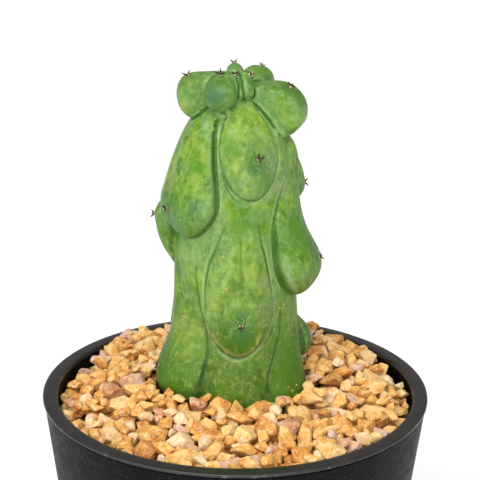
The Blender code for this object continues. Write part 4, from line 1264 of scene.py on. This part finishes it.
# %% [markdown]
# ## The gravel
#
# A stone is a ball cut by planes, with its edges bevelled.  Two dozen such shapes are made once.
# Their planes are kept, because the heap is built from them: each stone is dropped on a height map,
# which remembers the top of everything below it.

# %%
STONE_SHAPES = 24
STONE_PLANES = 10
STONE_SEED = 21
PLANE_TURN = 2.4                          # radians from one plane to the next
PLANE_UNEVEN = (0.5, 0.25)                # in turn and in height
PLANE_REACH = (0.62, 0.95)
STONE_CUBE = 2.4                          # the cube that the planes cut
SHORTEST_EDGE = 0.06
STONE_BEVEL = 0.08
STONE_SHARES = (("gravel_gold", 0.72), ("gravel_cream", 0.89), ("gravel_rose", 1.0))    # running sums


def stone_planes(draw):
    """Unit normals spread over the ball, each with its distance from the middle."""
    normals, reaches = [], []
    shift = draw.uniform(0, 6.28)
    for i in range(STONE_PLANES):
        up = 1 - 2 * (i + 0.5) / STONE_PLANES
        turn = shift + i * PLANE_TURN + draw.uniform(-PLANE_UNEVEN[0], PLANE_UNEVEN[0])
        side = math.sqrt(1 - up * up)
        up += draw.uniform(-PLANE_UNEVEN[1], PLANE_UNEVEN[1])
        normals.append(Vector((side * math.cos(turn), side * math.sin(turn), up)).normalized())
        reaches.append(draw.uniform(*PLANE_REACH))
    return normals, reaches


def stone_object(index, normals, reaches):
    """The stone between those planes, of half length 1 mm, with bevelled edges."""
    made = bmesh.new()
    bmesh.ops.create_cube(made, size=STONE_CUBE)
    for normal, reach in zip(normals, reaches):
        cut = bmesh.ops.bisect_plane(made, geom=made.verts[:] + made.edges[:] + made.faces[:],
                                     plane_co=normal * reach, plane_no=normal, clear_outer=True)
        rim = [item for item in cut["geom_cut"] if isinstance(item, bmesh.types.BMEdge)]
        if rim:
            bmesh.ops.holes_fill(made, edges=rim, sides=0)
    bmesh.ops.remove_doubles(made, verts=made.verts, dist=SHORTEST_EDGE)
    bmesh.ops.recalc_face_normals(made, faces=made.faces)
    bmesh.ops.bevel(made, geom=made.edges[:], offset=STONE_BEVEL, segments=1, profile=0.5, affect="EDGES")
    bmesh.ops.scale(made, vec=(MM, MM, MM), verts=made.verts)
    return built("stone_%02d" % index, made)


shape_draw = random.Random(STONE_SEED)
stone_forms = [stone_planes(shape_draw) for _ in range(STONE_SHAPES)]
stone_objects = [stone_object(i, *form) for i, form in enumerate(stone_forms)]
print("stone shapes:", STONE_SHAPES, "with", [len(o.data.polygons) for o in stone_objects][:6], "faces...")

# %% [markdown]
# The heap: stones fall one by one, each at the lowest of a few random places, until none fits below
# the gravel's level.  Cells under the plant or beyond the wall take no stone.

# %%
CELL = 0.4                                # millimetres
HEAP_HALF = 50.0
BED_DEPTH = 5.0                           # the dark bed lies this far under the gravel's level
STONE_TOP = 3.0                           # stones reach this far above the level
UNDER_TOP = -1.6                          # the stones under the large ones end this far below the level
BACK_RISE = 2.2                           # the gravel is heaped higher behind the plant
WALL_DIP = 2.5                            # and it sinks at the wall to the left and the right
FALL = (18, 26)                           # starts and runs of these slopes, in millimetres
BACK_SLOPE = (0, 25)
DIP_OUT, DIP_ASIDE, DIP_BEHIND = (40, 6), (32, 8), (-28, 14)
WALL_GAP = 0.25                           # stones keep this clear of the wall and of the plant
PLANT_GAP = 0.15
PLANT_LEVELS = (-6.0, -3.0, 0.0, 3.0)     # heights at which the plant blocks the stones
REST_SHARE = 88                           # percent of a stone's cells that lie on what is below
CLEAR_SHARE = 0.35                        # the part of a large stone above this stays in sight
HALF_SIZES = (1.9, 3.3)                   # smallest half length, and what chance adds to it
MORE_SMALL = 1.2                          # over 1, small stones are more common
# the stones under the top ones take the darker end of each ramp: painted shade in the gaps between stones
SHADED_UNDER_TINTS, TOP_TINTS = (0.0, 0.35), (0.2, 1.0)
WIDTHS, DEPTHS = (0.5, 0.9), (0.42, 0.75)
STONE_LEAN = 0.5
DROP_REACH = 48
PLACES_TRIED = 10
MISSES_ALLOWED = 40
# large stones on top: place, half sizes, lean and turn in degrees, colour, tint; one that finds no
# room is left out, and the script says which
LARGE_STONES = [
    ((-16.2, -11.0), (4.6, 3.0, 2.4), (10, 5), "gravel_gold", 0.5),
    ((-4.0, -14.5), (3.7, 3.0, 3.0), (5, 20), "gravel_gold", 0.4),
    ((-12.0, -18.6), (4.0, 2.4, 1.9), (10, 0), "gravel_gold", 0.9),
    ((-21.5, -25.3), (4.3, 3.3, 2.9), (15, -5), "gravel_gold", 0.45),
    ((-14.6, -28.9), (3.8, 3.2, 3.0), (10, 10), "gravel_cream", 0.7),
    ((-13.1, -38.6), (5.0, 3.3, 3.0), (15, -10), "gravel_gold", 0.75),
    ((-23.0, -36.6), (3.4, 3.0, 3.2), (5, 30), "gravel_gold", 0.2),
    ((-30.5, -10.5), (4.3, 3.0, 2.6), (10, 0), "gravel_gold", 1.0),
    ((-28.1, 2.6), (4.0, 3.0, 2.6), (10, -20), "gravel_rose", 0.6),
    ((-25.8, 23.3), (3.8, 3.4, 3.8), (0, 15), "gravel_gold", 1.0),
    ((-38.6, 19.0), (3.6, 2.4, 1.8), (5, -10), "gravel_rose", 0.9),
    ((-42.0, 11.5), (4.4, 2.0, 1.8), (10, -50), "gravel_gold", 0.85),
    ((-34.3, -1.4), (3.7, 2.8, 2.6), (10, -40), "gravel_rose", 0.2),
    ((-22.6, 37.6), (2.9, 2.5, 2.6), (0, 0), "gravel_gold", 0.95),
    ((-5.2, -37.6), (2.7, 4.0, 2.6), (35, -25), "gravel_gold", 0.5),
    ((-33.7, -18.2), (2.9, 2.5, 2.4), (10, 0), "gravel_cream", 0.4),
    ((-42.4, -14.9), (2.9, 1.7, 1.3), (10, -60), "gravel_cream", 0.9),
    ((25.8, -3.3), (4.8, 3.8, 1.7), (35, -38), "gravel_cream", 0.5),
    ((26.2, -12.6), (4.4, 2.3, 1.8), (15, -8), "gravel_cream", 0.2),
    ((38.6, 7.3), (4.4, 3.5, 2.6), (25, -15), "gravel_gold", 1.0),
    ((32.8, 27.6), (3.8, 3.0, 2.6), (10, 25), "gravel_gold", 0.35),
    ((37.8, 21.4), (3.2, 2.6, 2.8), (0, 0), "gravel_cream", 0.1),
    ((28.0, 34.4), (3.3, 2.7, 2.4), (5, -20), "gravel_gold", 0.3),
    ((24.8, 13.1), (3.7, 2.8, 2.4), (10, 10), "gravel_gold", 0.45),
    ((18.4, -29.6), (2.3, 4.5, 2.1), (52, 8), "gravel_gold", 0.6),
    ((13.2, -30.6), (2.3, 3.3, 2.2), (45, 18), "gravel_gold", 0.75),
    ((8.2, -25.1), (3.7, 3.4, 3.2), (15, 20), "gravel_gold", 0.1),
    ((2.4, -29.6), (3.0, 3.4, 3.2), (20, 0), "gravel_gold", 0.95),
    ((6.4, -14.6), (4.1, 2.8, 2.6), (10, 10), "gravel_gold", 0.3),
    ((17.2, -15.8), (3.9, 2.8, 2.4), (15, -15), "gravel_gold", 0.8),
    ((41.0, -19.2), (3.0, 2.3, 2.4), (10, 30), "gravel_gold", 0.9),
    ((37.4, -8.9), (5.2, 2.5, 2.2), (15, 15), "gravel_gold", 1.0),
    ((31.8, -13.4), (2.9, 2.2, 2.0), (0, 0), "gravel_rose", 0.05),
    ((34.6, -19.8), (2.7, 2.9, 2.8), (25, 0), "gravel_gold", 0.4),
    ((29.0, -28.6), (2.8, 2.1, 1.7), (0, 10), "gravel_rose", 0.9),
    ((14.8, -41.8), (3.8, 1.9, 1.5), (0, -8), "gravel_gold", 0.0),
]


def climb(value, start, run):
    """0 up to the start, then a straight rise to 1 over the run."""
    return np.clip((value - start) / run, 0, 1)


def gravel_level(x, y):
    """Height of the gravel over the rim plane: it rises from the wall to the stem."""
    out = np.hypot(x, y - AXIS_Y)
    level = GRAVEL_AT_STEM + (GRAVEL_AT_WALL - GRAVEL_AT_STEM) * climb(out, *FALL)
    dip = climb(np.hypot(x, y), *DIP_OUT) * climb(np.abs(x), *DIP_ASIDE) * climb(y, *DIP_BEHIND)
    return level + BACK_RISE * climb(y, *BACK_SLOPE) - WALL_DIP * dip


def heap_grid():
    """The height map's cells, its starting heights, and which cells are blocked."""
    line = np.arange(-HEAP_HALF, HEAP_HALF, CELL) + CELL / 2
    x, y = np.meshgrid(line, line, indexing="ij")
    height = gravel_level(x, y) - BED_DEPTH
    blocked = np.hypot(x, y) > RIM_RADIUS - RIM_BAND - WALL_GAP
    flat = np.stack([x.ravel(), y.ravel()], -1)
    for level in PLANT_LEVELS:
        field = plant_layers(np.column_stack([flat, np.full(len(flat), level)]))[0]
        blocked |= (field < PLANT_GAP).reshape(x.shape)
    return line, height, blocked


def footprint(form, turn, size, line, x, y):
    """Lowest and highest height of a stone over each cell it covers, about its middle."""
    normals, reaches = form
    reach = max(size)
    low = np.searchsorted(line, (x - reach, y - reach))
    high = np.searchsorted(line, (x + reach, y + reach))
    gx, gy = np.meshgrid(line[low[0]:high[0]] - x, line[low[1]:high[1]] - y, indexing="ij")
    under, over = np.full(gx.shape, -FAR), np.full(gx.shape, FAR)
    for normal, distance in zip(normals, reaches):
        m = turn @ Vector([n / s for n, s in zip(normal, size)])
        limit = (distance - m.x * gx - m.y * gy) / (m.z if abs(m.z) > 1e-6 else 1e-6)
        if m.z > 0:
            over = np.minimum(over, limit)
        else:
            under = np.maximum(under, limit)
    patch = (slice(low[0], high[0]), slice(low[1], high[1]))
    return patch, under, over, over > under


def rest_place(heap, shape, size, turn, x, y):
    """How high a stone comes to rest: its top over the gravel's level, its middle, and the cells it fills."""
    line, height, blocked = heap
    patch, under, over, inside = footprint(stone_forms[shape], turn, size, line, x, y)
    if not inside.any() or (blocked[patch] & inside).any():
        return None
    rest = np.percentile((height[patch] - under)[inside], REST_SHARE)
    top = rest + over[inside].max() - float(gravel_level(x, y))
    return top, rest, patch, over, inside


Stone = namedtuple("Stone", "place turn size shape tint colour")


def settle(heap, found, shape, size, turn, x, y, colour_name, tint, clear=0.0):
    """Leaves a stone where it rests, with its higher part kept clear of others; gives all that it was."""
    _, rest, patch, over, inside = found
    _, height, blocked = heap
    height[patch] = np.where(inside, np.maximum(height[patch], rest + over), height[patch])
    if clear:
        blocked[patch] |= inside & (over > over[inside].max() * clear)
    return Stone((x, y, rest + RIM_HEIGHT), turn.to_euler(), size, shape, tint, colour_name)


def fill_heap(heap, top_limit, tints, draw):
    """Drops random stones, each at the lowest of a few places, until none fits below the limit."""
    placed = []
    misses = 0
    while misses < MISSES_ALLOWED:
        shape = draw.randrange(STONE_SHAPES)
        half = HALF_SIZES[0] + HALF_SIZES[1] * draw.random() ** MORE_SMALL
        size = (half, half * draw.uniform(*WIDTHS), half * draw.uniform(*DEPTHS))
        best = None
        for _ in range(PLACES_TRIED):
            out, way = DROP_REACH * math.sqrt(draw.random()), draw.uniform(0, 2 * math.pi)
            x, y = out * math.cos(way), out * math.sin(way)
            lean, tilt = draw.gauss(0, STONE_LEAN), draw.gauss(0, STONE_LEAN)
            turn = Euler((lean, tilt, draw.uniform(0, 6.28))).to_matrix()
            found = rest_place(heap, shape, size, turn, x, y)
            if found and found[0] < top_limit and (best is None or found[0] < best[0][0]):
                best = (found, turn, x, y)
        if best is None:
            misses += 1
            continue
        misses = 0
        found, turn, x, y = best
        pick = draw.random()
        colour_name = next(name for name, share in STONE_SHARES if pick <= share)
        placed.append(settle(heap, found, shape, size, turn, x, y, colour_name, draw.uniform(*tints)))
    return placed


def drop_stones(draw):
    """Fills the heap: stones underneath, then the large ones, then stones round and between them."""
    heap = heap_grid()
    placed = fill_heap(heap, UNDER_TOP, SHADED_UNDER_TINTS, draw)
    for (x, y), size, (lean, yaw), colour_name, tint in LARGE_STONES:
        shape = draw.randrange(STONE_SHAPES)
        turn = Euler((math.radians(lean), 0, math.radians(yaw))).to_matrix()
        found = rest_place(heap, shape, size, turn, x, y)
        if found:
            placed.append(settle(heap, found, shape, size, turn, x, y, colour_name, tint, CLEAR_SHARE))
        else:
            print("no room for a large stone at", x, y)
    return placed + fill_heap(heap, STONE_TOP, TOP_TINTS, draw)


stones = drop_stones(random.Random(STONE_SEED))
print("stones dropped:", len(stones))

# %% [markdown]
# Geometry Nodes put the shapes at their places: a point for each stone carries its turn, size, shape
# and tint.

# %%
KINDS.update({
    "named": ("GeometryNodeInputNamedAttribute", ("Name",), "Attribute", {}),
    "shapes": ("GeometryNodeCollectionInfo", ("Collection", "Separate Children", "Reset Children"), 0, {}),
})


def stone_tree():
    """Instances a stone on each point, by the point's own turn, size and shape."""
    tree, given, out = node_group("stones", [
        ("Shapes", "NodeSocketCollection", None), ("Finish", "NodeSocketMaterial", None)])
    node = partial(add, tree)
    turn, size = (node("named", name, data_type="FLOAT_VECTOR") for name in ("turn", "size"))
    shape = node("named", "shape", data_type="INT")
    shapes = node("shapes", given.outputs["Shapes"], True, True)
    rotation = node("rotation", turn)
    placed = node("instances", given.outputs["Geometry"], shapes, rotation, size, True, shape)
    tree.links.new(node("painted", node("realized", placed), given.outputs["Finish"]), out.inputs[0])
    return tree


def stone_points(name, chosen):
    """A mesh of loose points that carry the stones' attributes."""
    mesh = bpy.data.meshes.new(name)
    mesh.from_pydata([Vector(stone.place) * MM for stone in chosen], [], [])
    for kept in ("turn", "size"):
        layer = mesh.attributes.new(kept, "FLOAT_VECTOR", "POINT")
        layer.data.foreach_set("vector", np.array([getattr(stone, kept)[:] for stone in chosen]).ravel())
    shapes = mesh.attributes.new("shape", "INT", "POINT")
    shapes.data.foreach_set("value", [stone.shape for stone in chosen])
    keep(mesh, "tint", np.array([stone.tint for stone in chosen]))
    return new_object(name, mesh)


# %% [markdown]
# Crushed quartz in three colours.  The tint runs across a colour ramp from stone to stone, and noise
# clouds each stone; small flat facets catch the light, and fine pale specks are partly the quartz's grit and
# partly painted glints.

# %%
KINDS["ramp"] = ("ShaderNodeValToRGB", ("Fac",), "Color", {})


def set_stops(elements, stops):
    """Gives a colour ramp its (position, hex) stops."""
    for position, text in stops[1:-1]:
        elements.new(position).color = colour(text)
    for element, (position, text) in ((elements[0], stops[0]), (elements[-1], stops[-1])):
        element.position = position
        element.color = colour(text)


def stone_material(name, stops, stain):
    """Crushed quartz: the stone's own tone, clouded, with rusty stains in its pits."""
    made, node, shader = new_material(name, {
        "Specular IOR Level": 0.45, "Subsurface Weight": 0.08, "Subsurface Scale": 1.0 * MM,
        "Subsurface Radius": (1.0, 0.6, 0.3)})
    place = node("place")
    clouds = node("noise", place, per(3.2), 4, 0.6, 0.6)
    veins = node("noise", place, per(1.6), 3, 0.6, 1.0)
    grit_and_glints = node("noise", place, per(0.45), 3, 0.65)
    shift = node("plus", node("kept", attribute_name="tint"), node("band", clouds, 0.3, 0.7, -0.45, 0.45))
    tone = node("ramp", shift)
    set_stops(tone.node.color_ramp.elements, stops)
    tone = node("blend", node("band", veins, 0.54, 0.7, 0, 0.62), tone, colour(stain))
    tone = node("blend", node("band", veins, 0.46, 0.34, 0, 0.62), tone, colour("#F0D9AC"))
    # pale specks: partly the quartz's grit, partly painted glints
    tone = node("blend", node("band", grit_and_glints, 0.54, 0.7, 0, 0.4), tone, colour("#FBEBCB"))
    tone = node("blend", node("band", grit_and_glints, 0.44, 0.3, 0, 0.4), tone, colour("#8A4A16"))
    rough = node("band", veins, 0.35, 0.65, 0.5, 0.8)
    normal = node("bump", grit_and_glints, 0.2 * MM, 0.8, node("bump", veins, 0.35 * MM, 0.8))
    finish_with(shader, Base_Color=tone, Roughness=rough, Normal=normal)
    return made


STONE_FINISHES = {
    "gravel_gold": ("golden_quartz", [
        (0.0, "#BE7428"), (0.35, "#DA9A42"), (0.7, "#E7B25E"), (1.0, "#EBC480")], "#BA7430"),
    "gravel_cream": ("cream_quartz", [
        (0.0, "#DEB27A"), (0.5, "#E6C492"), (1.0, "#EAD4AC")], "#CB8C48"),
    "gravel_rose": ("rose_and_rust_quartz", [
        (0.0, "#B67044"), (0.4, "#CE986E"), (0.7, "#D6AC92"), (1.0, "#CCA698")], "#B4825A"),
}


def sort_stones(placed):
    """The stones by their colours."""
    return {name: [stone for stone in placed if stone.colour == name] for name, _ in STONE_SHARES}


def make_stones(placed):
    """One piece for each colour of stone."""
    shelf = bpy.data.collections.new("stone_shapes")
    for thing in stone_objects:
        bpy.context.scene.collection.objects.unlink(thing)
        shelf.objects.link(thing)
    tree = stone_tree()
    made = []
    for name, chosen in sort_stones(placed).items():
        finish = stone_material(*STONE_FINISHES[name])
        piece = grow(stone_points(name, chosen), tree, {"Shapes": shelf, "Finish": finish})
        print(name + ":", len(chosen), "stones,", len(piece.data.polygons), "faces")
        made.append(piece)
    for thing in stone_objects:
        bpy.data.objects.remove(thing, do_unlink=True)
    bpy.data.collections.remove(shelf)
    return made


stone_pieces = make_stones(stones)

# %% [markdown]
# ## The soil between the stones
#
# A dark uneven bed lies under the stones, round the stem and out to the wall.

# %%
BED_RINGS = 40
BED_STEPS = 160
BED_GAP = 0.3                             # the bed ends this far inside the wall
BED_LIFT = 0.4
BED_SEED = 4
CRUMB_HEIGHT = 0.35


def make_bed():
    """A closed ring of soil whose top follows the gravel's level, with crumbs."""
    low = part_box("gravel")[0].z / MM - RIM_HEIGHT
    edge = RIM_RADIUS - RIM_BAND - BED_GAP
    profile = [(0, 0.0)] + [(edge * (i + 1) / BED_RINGS, 0.0) for i in range(BED_RINGS)]
    bed = turned("soil_bed", profile + [(edge, low), (0, low)], BED_STEPS)
    draw = random.Random(BED_SEED)
    points = places(bed.data)
    top = points[:, 2] > low + 0.5
    crumbs = np.array([draw.gauss(0, CRUMB_HEIGHT) for _ in range(len(points))])
    level = gravel_level(points[:, 0], points[:, 1]) - BED_DEPTH + BED_LIFT + crumbs
    points[:, 2] = np.where(top, level, points[:, 2]) + RIM_HEIGHT
    put(bed.data, points)
    return smooth(bed)


def soil_material():
    """Damp potting soil: dark brown crumbs."""
    made, node, shader = new_material("damp_potting_soil", {"Roughness": 0.95, "Specular IOR Level": 0.2})
    place = node("place")
    tone = node("ramp", node("noise", place, per(1.2), 5, 0.65))
    set_stops(tone.node.color_ramp.elements, [(0.3, "#24150D"), (0.55, "#4A2E1C"), (0.75, "#7A5230")])
    crumbs = node("bump", node("noise", place, per(0.7), 4, 0.6), 0.8 * MM)
    finish_with(shader, Base_Color=tone, Normal=crumbs)
    return made


soil_finish = soil_material()
bed = paint(make_bed(), soil_finish)
print("soil_bed:", len(bed.data.polygons), "faces")

# %% [markdown]
# ## Riding on the frame
#
# Each piece rides on the one body, and the CAD node it stands for is hidden.  The table also lists the slot
# of its finish, which nothing here uses.
# The soil below the gravel stays as the CAD has it, with its own finish.

# %%
RIDERS = [
    (skin, "cactus", "cactus_skin"), (spines, "cactus", "cactus_skin"), (pads, "cactus", "cactus_skin"),
    (cork, "cactus", "cactus_skin"), (pot, "pot", "black_plastic"), (bed, "gravel", "potting_soil"),
] + [(piece, "gravel", "golden_gravel") for piece in stone_pieces]

for piece, node, slot in RIDERS:
    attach(piece, "root")
    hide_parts(node)

paint(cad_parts["soil"], soil_finish)
print(len(RIDERS), "pieces ride on the frame")

# %% [markdown]
# ## Floor, light and camera
#
# A plain pale floor, a soft white surround that is brightest in front and above, a little to the left,
# and a weak key light from there.  The camera stands where the photograph was taken from: 19 degrees
# above the horizon, slightly rolled.

# %%
FLOOR_HALF = 6.0
CAMERA_DISTANCE = 0.45
CAMERA_PITCH = 19.04
CAMERA_ROLL = 0.65
CAMERA_TARGET = (0.82, 0.0, RIM_HEIGHT + 42.74)
CAMERA_LENS = 126.9
SENSOR = 36.0


def plain_material(name, text, roughness):
    """A plain studio surface."""
    return new_material(name, {"Base Color": colour(text), "Roughness": roughness})[0]


def make_floor():
    """The floor the pot stands on."""
    made = bmesh.new()
    bmesh.ops.create_grid(made, x_segments=1, y_segments=1, size=FLOOR_HALF)
    floor = paint(built("floor", made), plain_material("studio_floor", "#F7F7F7", 0.8))


def soft_light(name, place, size, power, target):
    """A square area light that faces its target."""
    lamp = bpy.data.lights.new(name, "AREA")
    lamp.shape = "SQUARE"
    lamp.size = size
    lamp.energy = power
    thing = new_object(name, lamp)
    thing.location = place
    thing.rotation_euler = (Vector(target) - Vector(place)).to_track_quat("-Z", "Y").to_euler()


KINDS["towards"] = ("ShaderNodeVectorMath", (0, 1), "Value", {"operation": "DOT_PRODUCT"})


def make_world(even, key, narrow, direction):
    """A white surround: an even part, and a soft part that narrows towards one direction."""
    world = bpy.data.worlds.new("studio")
    world.use_nodes = True
    tree = world.node_tree
    background = tree.nodes["Background"]
    background.inputs["Color"].default_value = (1.0, 1.0, 1.0, 1.0)
    node = partial(add, tree)
    way = node("place").node.outputs["Generated"]
    facing = node("towards", way, Vector(direction).normalized())
    lobe = node("maths", node("maths", facing, 0.0, operation="MAXIMUM"), narrow, operation="POWER")
    tree.links.new(node("plus", node("times", lobe, key), even), background.inputs["Strength"])
    bpy.context.scene.world = world


def make_camera():
    """The camera, from its target, distance, pitch and roll."""
    pitch, roll = math.radians(CAMERA_PITCH), math.radians(CAMERA_ROLL)
    back = Vector((0, -math.cos(pitch), math.sin(pitch)))
    up = Vector((0, math.sin(pitch), math.cos(pitch)))
    right = Vector((1, 0, 0))
    turned_right = right * math.cos(roll) + up * math.sin(roll)
    turned_up = up * math.cos(roll) - right * math.sin(roll)
    lens = bpy.data.cameras.new("camera")
    lens.lens = CAMERA_LENS
    lens.sensor_width = SENSOR
    lens.clip_start = 0.01
    camera = new_object("camera", lens)
    place = Vector(CAMERA_TARGET) * MM + back * CAMERA_DISTANCE
    facing = Matrix((turned_right, turned_up, back)).transposed().to_4x4()
    camera.matrix_world = Matrix.Translation(place) @ facing
    bpy.context.scene.camera = camera


make_floor()
soft_light("key", place=(-0.25, -0.7, 0.95), size=0.5, power=3.0, target=(0, 0, 0.12))
make_world(even=0.32, key=2.25, narrow=2.0, direction=(-0.2, -0.7, 0.68))
make_camera()
bpy.context.scene.view_settings.view_transform = "Standard"
print("stage set")
